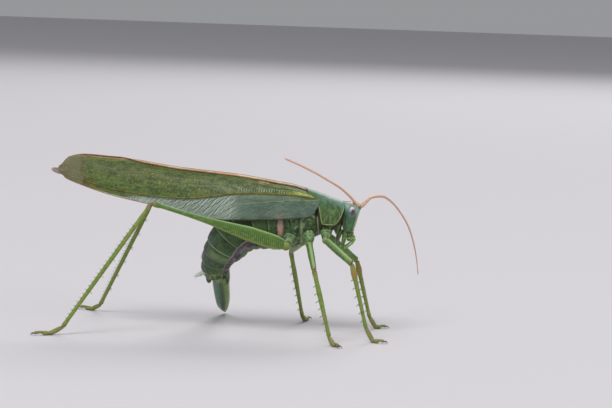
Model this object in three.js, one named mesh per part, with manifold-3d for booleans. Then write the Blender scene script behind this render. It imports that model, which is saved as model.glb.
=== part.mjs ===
// Great green bush-cricket, an adult female at life size, standing with the abdomen curled down.
// Millimetres, +Z up, head towards +X. Distances named "back" run from the wing hinge to the tail.
import * as THREE from 'three';
import { mergeVertices } from 'three/addons/utils/BufferGeometryUtils.js';
import Module from 'manifold-3d';

const wasm = await Module();
wasm.setup();

// ---------------------------------------------------------------- driving dimensions

const GAP = 0.3;                   // clearance between two parts that touch
const CENTRE = { x: -13.8, y: 8.1 };  // middle of the footprint, seen from the wing hinge
const FLOOR_DEPTH = 5;             // depth of the block that trims whatever would pass the floor

// Head: rows of [share down the face, height, rear x, front x, half width].
const HEAD = [
  [0.0, 26.85, 8.3, 9.7, 0.6],
  [0.07, 26.7, 8.1, 10.2, 1.35],
  [0.2, 26.15, 7.9, 10.7, 2.05],
  [0.36, 25.3, 7.8, 10.85, 2.4],
  [0.55, 23.9, 7.6, 10.5, 2.6],
  [0.75, 22.3, 7.5, 10.1, 2.45],
  [0.9, 21.2, 7.7, 9.8, 2.15],
  [1.0, 20.7, 8.0, 9.65, 1.8],
];
const HEAD_SQUARENESS = 0.85;
const CROWN_PEAK = { at: [10.5, 0, 25.9], size: [0.6, 0.42, 0.5] };
const EYE = { at: [9.25, 2.3, 25.25], size: [0.66, 0.62, 0.9] };
const SOCKET_GAP = 0.2;

// Lip plate and jaws: rows of [share down, height, rear x, front x, half width].
const LABRUM = [
  [0.0, 20.45, 9.3, 9.85, 1.25],
  [0.5, 19.9, 9.25, 9.8, 1.15],
  [1.0, 19.4, 9.1, 9.6, 0.75],
];
const JAWS = [
  [0.0, 20.4, 7.2, 9.0, 1.35],
  [0.5, 19.4, 6.95, 8.75, 1.25],
  [1.0, 18.2, 6.8, 8.1, 0.8],
];
const MOUTH_SQUARENESS = 0.85;

// Feelers and palps: the points that each passes, and rows of [share along, radius].
const FEELER_RIGHT = [
  [10.75, -0.9, 25.95], [10.3, -0.95, 26.4], [9.7, -1.1, 26.95], [8.9, -1.4, 27.85], [7.6, -1.9, 29.05],
  [6.2, -2.4, 30.1], [4.1, -3.1, 31.3], [2.0, -3.8, 32.5], [-0.9, -4.8, 33.95], [-4.5, -6.0, 35.5],
];
const FEELER_LEFT = [
  [10.85, 0.9, 25.8], [11.4, 1.3, 26.2], [12.3, 2.1, 27.0], [13.1, 3.4, 27.55], [14.8, 7.0, 27.55],
  [16.4, 11.6, 26.9],
  [18.8, 18.0, 24.6], [21.8, 25.0, 20.0], [23.8, 31.0, 14.3], [24.9, 35.0, 8.4],
];
const FEELER_RIGHT_RADIUS = [[0, 0.38], [0.045, 0.42], [0.07, 0.3], [0.12, 0.27], [1, 0.25]];
const FEELER_LEFT_RADIUS = [[0, 0.38], [0.02, 0.42], [0.032, 0.3], [0.06, 0.27], [0.6, 0.25], [1, 0.12]];
const PALP_UPPER = [
  [7.9, 1.95, 19.6], [8.9, 2.1, 19.7], [9.95, 2.25, 19.7], [9.5, 2.25, 18.8], [8.7, 2.1, 18.1], [7.9, 1.9, 17.5],
];
const PALP_UPPER_RADIUS = [
  [0, 0.25], [0.3, 0.3], [0.36, 0.25], [0.6, 0.3], [0.66, 0.26], [0.95, 0.36], [1, 0.3],
];
const PALP_LOWER = [[7.3, 0.65, 17.65], [7.0, 0.9, 17.2], [7.4, 1.0, 16.6]];
const PALP_LOWER_RADIUS = [[0, 0.25], [0.45, 0.25], [0.55, 0.25], [0.9, 0.32], [1, 0.27]];

// Pronotum, the saddle behind the head: its arch and where its margins run.
const PRONOTUM_ARCH = [[-0.2, 29.35, 3.6], [2.7, 28.6, 4.1], [5.2, 27.7, 4.1], [7.7, 26.9, 3.4]];
const PRONOTUM_MARGINS = [
  [0, -0.2, 7.7], [0.3, 0.5, 7.7], [0.5, 2.2, 7.6], [0.75, 2.8, 7.1], [0.9, 3.1, 6.4], [1, 4.2, 5.3],
];
const PRONOTUM_HEM = 22.4;
const PRONOTUM_THICKNESS = 0.6;
const PRONOTUM_RIM = 0.18;
const PROTHORAX_CORE = [
  [2.9, 27.9, 20.6, 3.1], [4.5, 27.4, 20.6, 3.1], [6.2, 26.8, 21.2, 2.8], [7.2, 26.2, 21.8, 2.2],
];

// Trunk under the wings: rows of [back, top, bottom, half width].
const THORAX = [
  [-2.6, 26.6, 20.2, 3.3], [-1.0, 26.8, 19.0, 3.9], [1.0, 26.9, 17.9, 4.3], [3.0, 26.8, 17.1, 4.4],
  [4.2, 26.7, 16.8, 4.4],
];
const TRUNK_SQUARENESS = 0.9;
const TRUNK_TAPER = 0.2;           // share of its width that the trunk loses at the belly

// Abdomen: rows of [share along, dorsal x, y, z, ventral x, y, z, half width].
const ABDOMEN = [
  [0.0, -4.6, 0, 26.7, -4.5, 0, 16.9, 4.4],
  [0.16, -9.5, 0, 26.9, -7.6, 0, 16.9, 4.5],
  [0.31, -14.2, 0.1, 25.1, -9.5, 0.1, 16.8, 4.5],
  [0.46, -17.8, 0.5, 21.9, -10.9, 0.5, 16.3, 4.3],
  [0.6, -19.5, 1.4, 18.3, -12.3, 1.3, 15.0, 3.9],
  [0.74, -20.5, 2.7, 15.0, -14.0, 2.6, 14.1, 3.3],
  [0.87, -20.7, 4.4, 12.0, -15.0, 4.3, 12.8, 2.6],
  [1.0, -19.6, 6.2, 9.8, -15.4, 5.6, 11.0, 1.7],
];
const ABDOMEN_CUTS = [0, 0.33, 0.66, 1];
const ABDOMEN_LENGTH = 20;
const TERGITES = 9;
const TERGITE_STEP = 0.045;

// Egg-laying blade: rows of [share along, x, y, z of its middle], then [share, half depth, half thickness].
const BLADE_COURSE = [
  [-16.9, 6.2, 10.4], [-16.8, 10.8, 7.4], [-16.7, 15.6, 4.6], [-16.7, 20.2, 2.2], [-16.4, 24.6, 0.35],
];
const BLADE_SIZE = [
  [0, 1.75, 0.95], [0.12, 1.75, 0.8], [0.35, 1.68, 0.62], [0.6, 1.48, 0.55], [0.78, 1.15, 0.46],
  [0.91, 0.6, 0.36], [1, 0.12, 0.12],
];
// The two short tail feelers: how far round from the ridge they stand, and the twist of the tip.
const CERCUS = { share: 0.88, spread: 41, twist: 14, length: 2.6 };
const CERCUS_RADIUS = [[0, 0.5], [0.5, 0.4], [1, 0.12]];

// Tegmen, the leathery forewing: rows of [back, top, lower edge, half span].
const TEGMEN = [
  [-2.4, 28.4, 25.3, 4.2],
  [-0.9, 29.1, 23.9, 4.6],
  [1.2, 29.5, 23.6, 4.9],
  [5.9, 30.2, 23.2, 5.1],
  [13.2, 31.3, 22.8, 4.95],
  [17.6, 31.7, 22.6, 4.6],
  [24.9, 32.3, 24.1, 4.0],
  [38.9, 34.1, 26.8, 3.0],
  [44.6, 34.4, 28.5, 2.4],
  [47.6, 33.75, 29.6, 2.0],
  [49.0, 32.4, 30.5, 1.8],
];
const TEGMEN_THICKNESS = 0.5;
const WING_LAP_ANGLE = 14;         // degrees that each wing reaches across the back
const WING_LAP_DROP = 1.1;         // how far the right wing sinks under the left one there
const WING_LAP_FADE = 55;          // degrees at which both wings are level again
const WING_LAP_ENDS = [32, 40];    // how far back the wings part again before their tips
const WING_DROP_ENDS = [42, 48];   // and where they are level again
const WING_TIP_ANGLE = 9;          // degrees that each tip stays clear of the middle
const VEIN_HEIGHT = 0.2;
const VEIN_HALF_WIDTH = 0.022;     // share of the wing's width
// Main veins: rows of [back, share down the wing] for each.
const VEINS = [
  [[-3, 0.19], [50, 0.16]],
  [[-3, 0.42], [14, 0.38], [34, 0.42], [50, 0.4]],
  [[-3, 0.54], [3, 0.56], [13, 0.63], [19, 0.71], [25, 0.82], [34, 0.88], [50, 0.86]],
  [[-3, 0.66], [5, 0.71], [10.6, 0.76], [14.8, 0.86], [18, 0.94], [50, 0.95]],
];

// Hindwing, folded under the tegmen: rows of [back, upper angle, lower angle, depth below the tegmen].
const HINDWING = [
  [3.4, 18, 36, 1.2], [9, 18, 42, 1.3], [16, 20, 48, 1.4], [22, 24, 60, 1.4], [32, 32, 70, 1.3],
  [42, 44, 78, 1.2], [47.4, 44, 86, 1.1], [49.2, 45, 88, 1.25], [50.2, 46, 78, 1.2], [50.9, 48, 62, 1.1],
];
const HINDWING_THICKNESS = 0.5;
const HINDWING_FOLDS = 6;
const PLEAT = 0.12;                // half height of its folds at the root, flat at the tip

// Legs: where the coxa roots, the hip, knee and ankle, and where the toe rests.
const LEGS = [
  { name: 'foreleg_right', kind: 'fore', root: [4.2, -2.4, 21.6], hip: [4.2, -3.9, 19.3],
    knee: [9.4, -9.0, 15.4], ankle: [12.6, -9.1, 2.9], toe: [16.2, -10.2, 0.45] },
  { name: 'foreleg_left', kind: 'fore', root: [4.4, 2.4, 22.0], hip: [4.7, 3.8, 19.6],
    knee: [10.8, 7.8, 14.2], ankle: [13.8, 9.0, 2.6], toe: [17.2, 10.6, 0.45] },
  { name: 'midleg_right', kind: 'mid', root: [0.7, -3.0, 20.8], hip: [0.9, -4.4, 18.5],
    knee: [2.0, -13.0, 14.4], ankle: [5.4, -13.7, 1.5], toe: [7.2, -18.0, 0.45] },
  { name: 'midleg_left', kind: 'mid', root: [0.0, 3.0, 20.6], hip: [-0.5, 4.4, 17.9],
    knee: [-2.8, 13.6, 15.0], ankle: [0.0, 15.0, 1.5], toe: [1.4, 19.5, 0.45] },
  { name: 'hindleg_right', kind: 'hind', root: [-2.7, -2.6, 20.0], hip: [-3.7, -4.7, 18.1],
    knee: [-30.2, -9.0, 26.0], ankle: [-46.6, -13.0, 1.5], toe: [-51.8, -15.0, 0.45] },
  { name: 'hindleg_left', kind: 'hind', root: [-2.8, 2.6, 19.8], hip: [-3.8, 4.7, 17.8],
    knee: [-31.0, 8.6, 25.4], ankle: [-42.6, 20.6, 1.5], toe: [-47.0, 24.0, 0.45] },
];
// Limb sizes: rows of [share along, half depth, half width].
const LIMBS = {
  fore: {
    coxa: [[0, 1.15, 1.1], [0.6, 1.0, 0.95], [1, 0.72, 0.7]],
    femur: [
      [0, 0.5, 0.5], [0.06, 0.66, 0.62], [0.4, 0.72, 0.66], [0.8, 0.62, 0.56], [0.96, 0.6, 0.52], [1, 0.4, 0.4],
    ],
    tibia: [
      [0, 0.4, 0.4], [0.05, 0.5, 0.46], [0.12, 0.6, 0.62], [0.2, 0.6, 0.62], [0.3, 0.42, 0.42], [1, 0.36, 0.36],
    ],
    femurSteps: 7,
    spines: 5,
    pad: 0.6,
  },
  mid: {
    coxa: [[0, 1.2, 1.15], [0.6, 1.05, 1.0], [1, 0.75, 0.72]],
    femur: [
      [0, 0.5, 0.5], [0.06, 0.7, 0.62], [0.4, 0.72, 0.64], [0.8, 0.6, 0.54], [0.96, 0.58, 0.52], [1, 0.4, 0.4],
    ],
    tibia: [[0, 0.4, 0.4], [0.06, 0.5, 0.46], [0.3, 0.46, 0.44], [1, 0.36, 0.36]],
    femurSteps: 7,
    spines: 6,
    pad: 0.62,
  },
  hind: {
    coxa: [[0, 1.6, 1.5], [0.6, 1.45, 1.3], [1, 1.0, 0.95]],
    femur: [
      [0, 0.7, 0.6], [0.04, 1.15, 0.95], [0.1, 1.4, 1.1], [0.236, 1.45, 1.1], [0.42, 1.05, 0.85],
      [0.6, 0.6, 0.52], [0.785, 0.43, 0.4], [0.93, 0.43, 0.4], [0.97, 0.56, 0.48], [1, 0.4, 0.36],
    ],
    tibia: [[0, 0.4, 0.38], [0.03, 0.5, 0.42], [0.1, 0.42, 0.38], [0.9, 0.38, 0.36], [1, 0.42, 0.4]],
    femurSteps: 14,
    spines: 15,
    pad: 0.66,
  },
};
// Two rows of spines on each shin: the share of it that they cover, and how each one stands.
const SPINES = { from: 0.2, to: 0.94, radius: 0.16, spread: 0.45, slant: 0.45 };
const SPINE_REACH = { fore: 1.12, mid: 1.12, hind: 1.0 };
// Foot: shares of its length where the heel pad and the two balls stand, and where the last joint starts.
const FOOT = { heel: 0.38, balls: [0.4, 0.6], neck: 0.6 };
const FOOT_HEIGHT = { heel: 0.5, ball: 0.42, neck: 0.55, claw: 0.16 };
const HEEL_SIZES = [[0, 0.35, 0.35], [0.6, 0.5, 0.58], [1, 0.45, 0.46]];
const BALL_HALF_HEIGHT = 0.52;
const LAST_JOINT_RADIUS = [[0, 0.26], [1, 0.3]];
const CLAW = { reach: 0.72, spread: 0.54, radius: 0.22 };

// ---------------------------------------------------------------- finishes

const finish = (color, roughness) => new THREE.MeshStandardMaterial({ color, roughness, metalness: 0 });
const FINISHES = {
  body: finish(0x3f7a45, 0.5),
  saddle: finish(0x4f8a5c, 0.45),
  wing: finish(0x6d8a45, 0.6),
  hindwing: finish(0xb9c7a0, 0.5),
  leg: finish(0x7fae3c, 0.45),
  feeler: finish(0xd08a55, 0.55),
  eye: finish(0xb99a94, 0.25),
  blade: finish(0x4f8f5a, 0.4),
};

// ---------------------------------------------------------------- shaping helpers

const vec = (x, y, z) => new THREE.Vector3(x, y, z);
const mirrored = (points) => points.map(([x, y, z]) => [x, -y, z]);
const swell = (value, power) => Math.sign(value) * Math.abs(value) ** power;
const radians = THREE.MathUtils.degToRad;

// Smooth values between the rows of a table whose first column is the place.
function graded(rows, place) {
  const last = rows.length - 1;
  const rise = (i, k) => (rows[i + 1][k] - rows[i][k]) / (rows[i + 1][0] - rows[i][0]);
  const slope = (i, k) => {
    if (i === 0) return rise(0, k);
    if (i === last) return rise(last - 1, k);
    const before = rise(i - 1, k);
    const after = rise(i, k);
    return before * after > 0 ? (2 * before * after) / (before + after) : 0;
  };
  let i = 0;
  while (i < last - 1 && place > rows[i + 1][0]) i += 1;
  const span = rows[i + 1][0] - rows[i][0];
  const t = THREE.MathUtils.clamp((place - rows[i][0]) / span, 0, 1);
  return rows[i].slice(1).map((value, column) => {
    const k = column + 1;
    const ease = t * t * (3 - 2 * t);
    const lean = (1 - t) * slope(i, k) - t * slope(i + 1, k);
    return value + (rows[i + 1][k] - value) * ease + span * t * (1 - t) * lean;
  });
}

// Bare, welded copy of a three.js geometry, moved vertex by vertex.
function reshaped(geometry, move) {
  geometry.deleteAttribute('normal');
  geometry.deleteAttribute('uv');
  const welded = mergeVertices(geometry);
  const places = welded.attributes.position;
  const from = new THREE.Vector3();
  for (let i = 0; i < places.count; i += 1) {
    const to = move(from.fromBufferAttribute(places, i));
    places.setXYZ(i, to.x, to.y, to.z);
  }
  return solidOf(welded);
}

// Closed solid through rings of points: ring(share along, angle) gives each point.
function loft(sides, steps, ring) {
  const middle = (u) => {
    const sum = new THREE.Vector3();
    for (let i = 0; i < sides; i += 1) sum.add(ring(u, (2 * Math.PI * i) / sides));
    return sum.divideScalar(sides);
  };
  return reshaped(new THREE.CylinderGeometry(1, 1, 1, sides, steps), (from) => {
    const u = 0.5 - from.y;
    const onRim = Math.hypot(from.x, from.z) > 0.5;
    return onRim ? ring(u, Math.atan2(from.x, from.z)) : middle(u);
  });
}

// Closed thin solid: surface(share along, share across, 1 outside or 0 inside) gives each point.
function sheet(rows, columns, surface) {
  return reshaped(new THREE.BoxGeometry(1, 1, 1, rows, columns, 1), (from) => (
    surface(from.x + 0.5, from.y + 0.5, from.z > 0 ? 1 : 0)
  ));
}

// Solid of a welded geometry, its faces turned to point out.
function solidOf(geometry) {
  const places = geometry.attributes.position;
  const corners = Uint32Array.from(geometry.index.array);
  const [a, b, c] = [vec(), vec(), vec()];
  let volume = 0;
  for (let i = 0; i < corners.length; i += 3) {
    a.fromBufferAttribute(places, corners[i]);
    b.fromBufferAttribute(places, corners[i + 1]);
    c.fromBufferAttribute(places, corners[i + 2]);
    volume += a.dot(b.cross(c));
  }
  if (volume < 0) corners.reverse();
  const vertProperties = Float32Array.from(places.array);
  return new wasm.Manifold(new wasm.Mesh({ numProp: 3, vertProperties, triVerts: corners }));
}

const joined = (solids) => solids.reduce((sum, next) => sum.add(next));
const cut = (solid, ...tools) => tools.reduce((rest, tool) => rest.subtract(tool), solid);

// Ball squashed to the given half sizes.
function ball(at, size, around = 8, grow = 0) {
  return reshaped(new THREE.SphereGeometry(1, around, around * 0.75), (from) => vec(
    at[0] + from.x * (size[0] + grow),
    at[1] + from.y * (size[1] + grow),
    at[2] + from.z * (size[2] + grow),
  ));
}

// Tapered limb along a smooth course, its depth measured towards `upright`.
function limb({ course, sizes, sides, steps, upright = [0, 0, 1], grow = 0 }) {
  const points = course.map((point) => vec(...point));
  const curve = points.length > 2 ? new THREE.CatmullRomCurve3(points) : new THREE.LineCurve3(...points);
  const length = curve.getLength();
  const reach = grow / length;
  return loft(sides, steps, (u, angle) => {
    const along = curve.getTangentAt(u);
    const side = new THREE.Vector3().crossVectors(along, vec(...upright)).normalize();
    const depth = new THREE.Vector3().crossVectors(side, along);
    const size = graded(sizes, u);
    const high = size[0] + grow;
    const wide = (size.length > 1 ? size[1] : size[0]) + grow;
    return curve.getPointAt(u)
      .addScaledVector(along, (2 * u - 1) * reach * length)
      .addScaledVector(depth, high * Math.cos(angle))
      .addScaledVector(side, wide * Math.sin(angle));
  });
}

// Four-sided pointed cone.
function spike(root, tip, radius) {
  const along = tip.clone().sub(root);
  const turn = new THREE.Quaternion().setFromUnitVectors(vec(0, 1, 0), along.clone().normalize());
  const middle = root.clone().lerp(tip, 0.5);
  return reshaped(new THREE.ConeGeometry(radius, along.length(), 4, 1), (from) => (
    from.clone().applyQuaternion(turn).add(middle)
  ));
}

// Upright block whose rings lie level, such as the head.
function stack(rows, sides, steps, squareness, grow = 0) {
  return loft(sides, steps, (u, angle) => {
    const [height, rear, front, half] = graded(rows, u);
    const x = (rear + front) / 2 + ((front - rear) / 2 + grow) * swell(Math.cos(angle), squareness);
    const y = (half + grow) * swell(Math.sin(angle), squareness);
    return vec(x, y, height + grow * (1 - 2 * u));
  });
}

// ---------------------------------------------------------------- head

const side = (name) => (name.endsWith('right') ? -1 : 1);
const eyeSolid = (name, grow = 0) => ball([EYE.at[0], side(name) * EYE.at[1], EYE.at[2]], EYE.size, 12, grow);

function head() {
  const skull = joined([stack(HEAD, 20, 11, HEAD_SQUARENESS), ball(CROWN_PEAK.at, CROWN_PEAK.size)]);
  return cut(
    skull,
    eyeSolid('right', SOCKET_GAP),
    eyeSolid('left', SOCKET_GAP),
    feeler('right', GAP),
    feeler('left', GAP),
    prothorax(GAP),
  );
}

function feeler(name, grow = 0) {
  const right = name === 'right';
  return limb({
    course: right ? FEELER_RIGHT : FEELER_LEFT,
    sizes: right ? FEELER_RIGHT_RADIUS : FEELER_LEFT_RADIUS,
    sides: 6,
    steps: right ? 20 : 34,
    upright: right ? [0, 1, 0] : [0, 0, 1],
    grow,
  });
}

const palp = (name, course, sizes, steps) => limb({
  course: name === 'right' ? mirrored(course) : course, sizes, sides: 6, steps, upright: [0, 1, 0],
});

// ---------------------------------------------------------------- thorax

// Saddle shell with a raised rim, over a core that carries the neck and the front legs.
function prothorax(grow = 0) {
  const shell = sheet(9, 16, (s, t, outside) => {
    const across = 2 * t - 1;
    const [rear, front] = graded(PRONOTUM_MARGINS, Math.abs(across));
    const x = THREE.MathUtils.lerp(rear - grow, front + grow, s);
    const [top, half] = graded(PRONOTUM_ARCH, x);
    const rise = top - PRONOTUM_HEM;
    const angle = across * (Math.PI / 2 + grow / rise);
    const edge = Math.max(Math.abs(2 * s - 1), Math.abs(across)) ** 12;
    const lift = outside ? grow + PRONOTUM_RIM * edge : -PRONOTUM_THICKNESS - grow;
    const normal = new THREE.Vector2(rise * Math.sin(angle), half * Math.cos(angle)).normalize();
    return vec(
      x,
      half * Math.sin(angle) + lift * normal.x,
      top - rise * (1 - Math.cos(angle)) + lift * normal.y,
    );
  });
  return joined([shell, trunk(PROTHORAX_CORE, 1, grow)]);
}

// Length of the trunk between two upright faces, narrower below.
function trunk(rows, direction, grow = 0) {
  const [first, last] = [rows[0][0], rows[rows.length - 1][0]];
  return loft(18, 6, (u, angle) => {
    const place = THREE.MathUtils.lerp(first, last, u);
    const [top, bottom, half] = graded(rows, place);
    const x = direction * place + direction * (2 * u - 1) * grow;
    const up = Math.cos(angle);
    const width = half * (up < 0 ? 1 + TRUNK_TAPER * up : 1);
    return vec(
      x,
      (width + grow) * swell(Math.sin(angle), TRUNK_SQUARENESS),
      (top + bottom) / 2 + ((top - bottom) / 2 + grow) * swell(up, TRUNK_SQUARENESS),
    );
  });
}

const thorax = (grow = 0) => (grow ? trunk(THORAX, -1, grow) : cut(trunk(THORAX, -1), prothorax(GAP)));

// ---------------------------------------------------------------- abdomen

const abdomenAxis = (share) => {
  const [dx, dy, dz, vx, vy, vz] = graded(ABDOMEN, share);
  return vec(dx + vx, dy + vy, dz + vz).divideScalar(2);
};

const abdomenWay = (share) => (
  abdomenAxis(Math.min(share + 0.01, 1)).sub(abdomenAxis(Math.max(share - 0.01, 0))).normalize()
);

// Point of the abdomen's skin, or of one grown past it, at an angle from the middle of the back.
function abdomenPoint(share, angle, grow = 0) {
  const [dx, dy, dz, vx, vy, vz, half] = graded(ABDOMEN, share);
  const up = vec(dx - vx, dy - vy, dz - vz).divideScalar(2);
  const wide = new THREE.Vector3().crossVectors(up, abdomenWay(share)).normalize();
  const lap = 1 + TERGITE_STEP * ((share * TERGITES) % 1 - 0.5);
  return abdomenAxis(share)
    .addScaledVector(up, Math.cos(angle) * lap * (1 + grow / up.length()))
    .addScaledVector(wide, (half + grow) * lap * Math.sin(angle));
}

// Length of the abdomen between two shares of it, stepped where each back plate laps the next.
function abdomenLength(from, to, grow = 0) {
  return loft(20, Math.round(3 * TERGITES * (to - from)), (u, angle) => {
    const share = THREE.MathUtils.lerp(from, to, u);
    return abdomenPoint(share, angle, grow).addScaledVector(abdomenWay(share), (2 * u - 1) * grow);
  });
}

const blade = (grow = 0) => limb({
  course: BLADE_COURSE, sizes: BLADE_SIZE, sides: 10, steps: 14, upright: [-1, 0, 0], grow,
});

// Short feeler at each side of the abdomen's tip, pointing back and outwards.
function cercus(name) {
  const angle = radians(-side(name) * CERCUS.spread - CERCUS.twist);
  const root = abdomenPoint(CERCUS.share, angle, -0.6);
  const way = abdomenPoint(CERCUS.share, angle, 1).sub(root).normalize();
  const tip = root.clone().addScaledVector(way, CERCUS.length);
  return limb({ course: [root.toArray(), tip.toArray()], sizes: CERCUS_RADIUS, sides: 8, steps: 4 });
}

// ---------------------------------------------------------------- wings

const fading = (back, ends) => 1 - THREE.MathUtils.smoothstep(back, ...ends);

// Point on a wing's middle surface, moved out along its normal.
function wingPoint(sideSign, back, degrees, out, drop) {
  const [top, bottom, half] = graded(TEGMEN, back);
  const angle = radians(degrees);
  const rise = top - bottom;
  const across = 1 - THREE.MathUtils.smoothstep(degrees, WING_LAP_ANGLE, WING_LAP_FADE);
  const sunk = drop * fading(back, WING_DROP_ENDS) * across;
  const normal = new THREE.Vector2(rise * Math.sin(angle), half * Math.cos(angle)).normalize();
  return vec(
    -back,
    sideSign * (half * Math.sin(angle) + out * normal.x),
    top - sunk - rise * (1 - Math.cos(angle)) + out * normal.y,
  );
}

// Where the grid's columns run across the wing, two beside each vein and one on it.
function wingColumns(back) {
  const columns = [{ share: 0, vein: 0.5 }];
  for (const vein of VEINS) {
    const [share] = graded(vein, back);
    columns.push({ share: share - VEIN_HALF_WIDTH, vein: 0 });
    columns.push({ share, vein: 1 });
    columns.push({ share: share + VEIN_HALF_WIDTH, vein: 0 });
  }
  columns.push({ share: 1, vein: 0.5 });
  return columns;
}
const WING_COLUMNS = wingColumns(0).length - 1;

function tegmen(name) {
  const sign = side(name);
  const [first, last] = [TEGMEN[0][0], TEGMEN[TEGMEN.length - 1][0]];
  const wing = sheet(20, WING_COLUMNS, (u, v, outside) => {
    const back = THREE.MathUtils.lerp(first, last, u);
    const column = wingColumns(back)[Math.round(v * WING_COLUMNS)];
    const start = THREE.MathUtils.lerp(WING_TIP_ANGLE, -WING_LAP_ANGLE, fading(back, WING_LAP_ENDS));
    const degrees = THREE.MathUtils.lerp(start, 90, column.share);
    const out = outside ? TEGMEN_THICKNESS / 2 + VEIN_HEIGHT * column.vein : -TEGMEN_THICKNESS / 2;
    return wingPoint(sign, back, degrees, out, sign < 0 ? WING_LAP_DROP : 0);
  });
  return cut(wing, prothorax(GAP));
}

function hindwing(name) {
  const sign = side(name);
  const [first, last] = [HINDWING[0][0], HINDWING[HINDWING.length - 1][0]];
  return sheet(14, HINDWING_FOLDS, (u, v, outside) => {
    const back = THREE.MathUtils.lerp(first, last, u);
    const [upper, lower, depth] = graded(HINDWING, back);
    const fold = Math.round(v * HINDWING_FOLDS) % 2 ? PLEAT : -PLEAT;
    const out = -depth + fold * (1 - u) + (outside ? 0.5 : -0.5) * HINDWING_THICKNESS;
    return wingPoint(sign, back, THREE.MathUtils.lerp(upper, lower, v), out, WING_LAP_DROP);
  });
}

// ---------------------------------------------------------------- legs

const floorBlock = () => reshaped(new THREE.BoxGeometry(1, 1, 1), (from) => (
  vec(from.x * 200, from.y * 200, (from.z - 0.5) * FLOOR_DEPTH)
));

const coxa = (leg, grow = 0) => limb({
  course: [leg.root, leg.hip], sizes: LIMBS[leg.kind].coxa, sides: 10, steps: 3, upright: [1, 0, 0], grow,
});
const femur = (leg, grow = 0) => limb({
  course: [leg.hip, leg.knee], sizes: LIMBS[leg.kind].femur, sides: 10, steps: LIMBS[leg.kind].femurSteps, grow,
});
const shank = (leg, grow = 0) => limb({
  course: [leg.knee, leg.ankle], sizes: LIMBS[leg.kind].tibia, sides: 8, steps: 8, upright: [1, 0, 0], grow,
});

// Shin with two rows of spines on its inner edge, or along its back on a hind leg.
function tibia(leg) {
  const [top, bottom] = [vec(...leg.knee), vec(...leg.ankle)];
  const along = bottom.clone().sub(top).normalize();
  const outward = vec(0, side(leg.name), 0);
  const behind = new THREE.Vector3().crossVectors(along, outward).normalize();
  if (behind.x > 0) behind.negate();
  const count = LIMBS[leg.kind].spines;
  const solids = [shank(leg)];
  for (let i = 0; i < count; i += 1) {
    const share = THREE.MathUtils.lerp(SPINES.from, SPINES.to, (i + 0.5) / count);
    for (const lean of [-1, 1]) {
      const root = top.clone().lerp(bottom, share);
      const tip = root.clone()
        .addScaledVector(behind, SPINE_REACH[leg.kind])
        .addScaledVector(outward, SPINES.spread * lean)
        .addScaledVector(along, SPINES.slant);
      solids.push(spike(root, tip, SPINES.radius));
    }
  }
  return cut(joined(solids), femur(leg, GAP));
}

// Foot of three padded joints, a slender last one and two claws, flat where it stands.
function tarsus(leg) {
  const [ankle, toe] = [vec(...leg.ankle), vec(...leg.toe)];
  const heading = toe.clone().sub(ankle);
  const level = vec(heading.x, heading.y, 0).normalize();
  const across = vec(-level.y, level.x, 0);
  const pad = LIMBS[leg.kind].pad;
  const footPoint = (share, height) => {
    const point = ankle.clone().addScaledVector(level, share * heading.length());
    point.z = height;
    return point;
  };
  const heel = footPoint(FOOT.heel, FOOT_HEIGHT.heel);
  const solids = [limb({
    course: [leg.ankle, ankle.clone().lerp(heel, 0.5).toArray(), heel.toArray()],
    sizes: HEEL_SIZES,
    sides: 8,
    steps: 3,
  })];
  for (const share of FOOT.balls) {
    solids.push(ball(footPoint(share, FOOT_HEIGHT.ball).toArray(), [pad, pad, BALL_HALF_HEIGHT]));
  }
  const neck = footPoint(FOOT.neck, FOOT_HEIGHT.neck).toArray();
  solids.push(limb({ course: [neck, leg.toe], sizes: LAST_JOINT_RADIUS, sides: 6, steps: 1 }));
  for (const lean of [-1, 1]) {
    const tip = toe.clone().addScaledVector(level, CLAW.reach).addScaledVector(across, lean * CLAW.spread);
    tip.z = FOOT_HEIGHT.claw;
    solids.push(spike(toe, tip, CLAW.radius));
  }
  return cut(joined(solids), shank(leg, GAP), floorBlock());
}

// ---------------------------------------------------------------- assembly

const insect = new THREE.Group();

// Adds the largest closed body of a solid as a named mesh.
function place(name, solid, material) {
  const body = solid.decompose().sort((a, b) => b.volume() - a.volume())[0];
  const { vertProperties, triVerts, numProp } = body.getMesh();
  const geometry = new THREE.BufferGeometry();
  const places = new Float32Array((vertProperties.length / numProp) * 3);
  for (let i = 0; i < places.length / 3; i += 1) {
    places.set(vertProperties.subarray(i * numProp, i * numProp + 3), i * 3);
  }
  geometry.setAttribute('position', new THREE.BufferAttribute(places, 3));
  geometry.setIndex(Array.from(triVerts));
  geometry.computeVertexNormals();
  const mesh = new THREE.Mesh(geometry, material);
  mesh.name = name;
  insect.add(mesh);
}

place('head', head(), FINISHES.body);
place('labrum', stack(LABRUM, 12, 4, MOUTH_SQUARENESS), FINISHES.body);
place('jaws', stack(JAWS, 12, 4, MOUTH_SQUARENESS), FINISHES.body);
place('prothorax', prothorax(), FINISHES.saddle);
place('thorax', thorax(), FINISHES.body);
for (const name of ['right', 'left']) {
  place(`eye_${name}`, eyeSolid(name), FINISHES.eye);
  place(`antenna_${name}`, feeler(name), FINISHES.feeler);
  place(`palp_upper_${name}`, palp(name, PALP_UPPER, PALP_UPPER_RADIUS, 11), FINISHES.leg);
  place(`palp_lower_${name}`, palp(name, PALP_LOWER, PALP_LOWER_RADIUS, 6), FINISHES.leg);
  place(`tegmen_${name}`, tegmen(name), FINISHES.wing);
  place(`hindwing_${name}`, hindwing(name), FINISHES.hindwing);
}
['abdomen_base', 'abdomen_middle', 'abdomen_tip'].forEach((name, i) => {
  const gap = GAP / ABDOMEN_LENGTH;
  const from = ABDOMEN_CUTS[i] + (i > 0 ? gap : 0);
  const to = ABDOMEN_CUTS[i + 1] - (i < 2 ? gap : 0);
  place(name, abdomenLength(from, to), FINISHES.body);
});
place('ovipositor', cut(blade(), abdomenLength(ABDOMEN_CUTS[2], 1, GAP)), FINISHES.blade);
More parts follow.
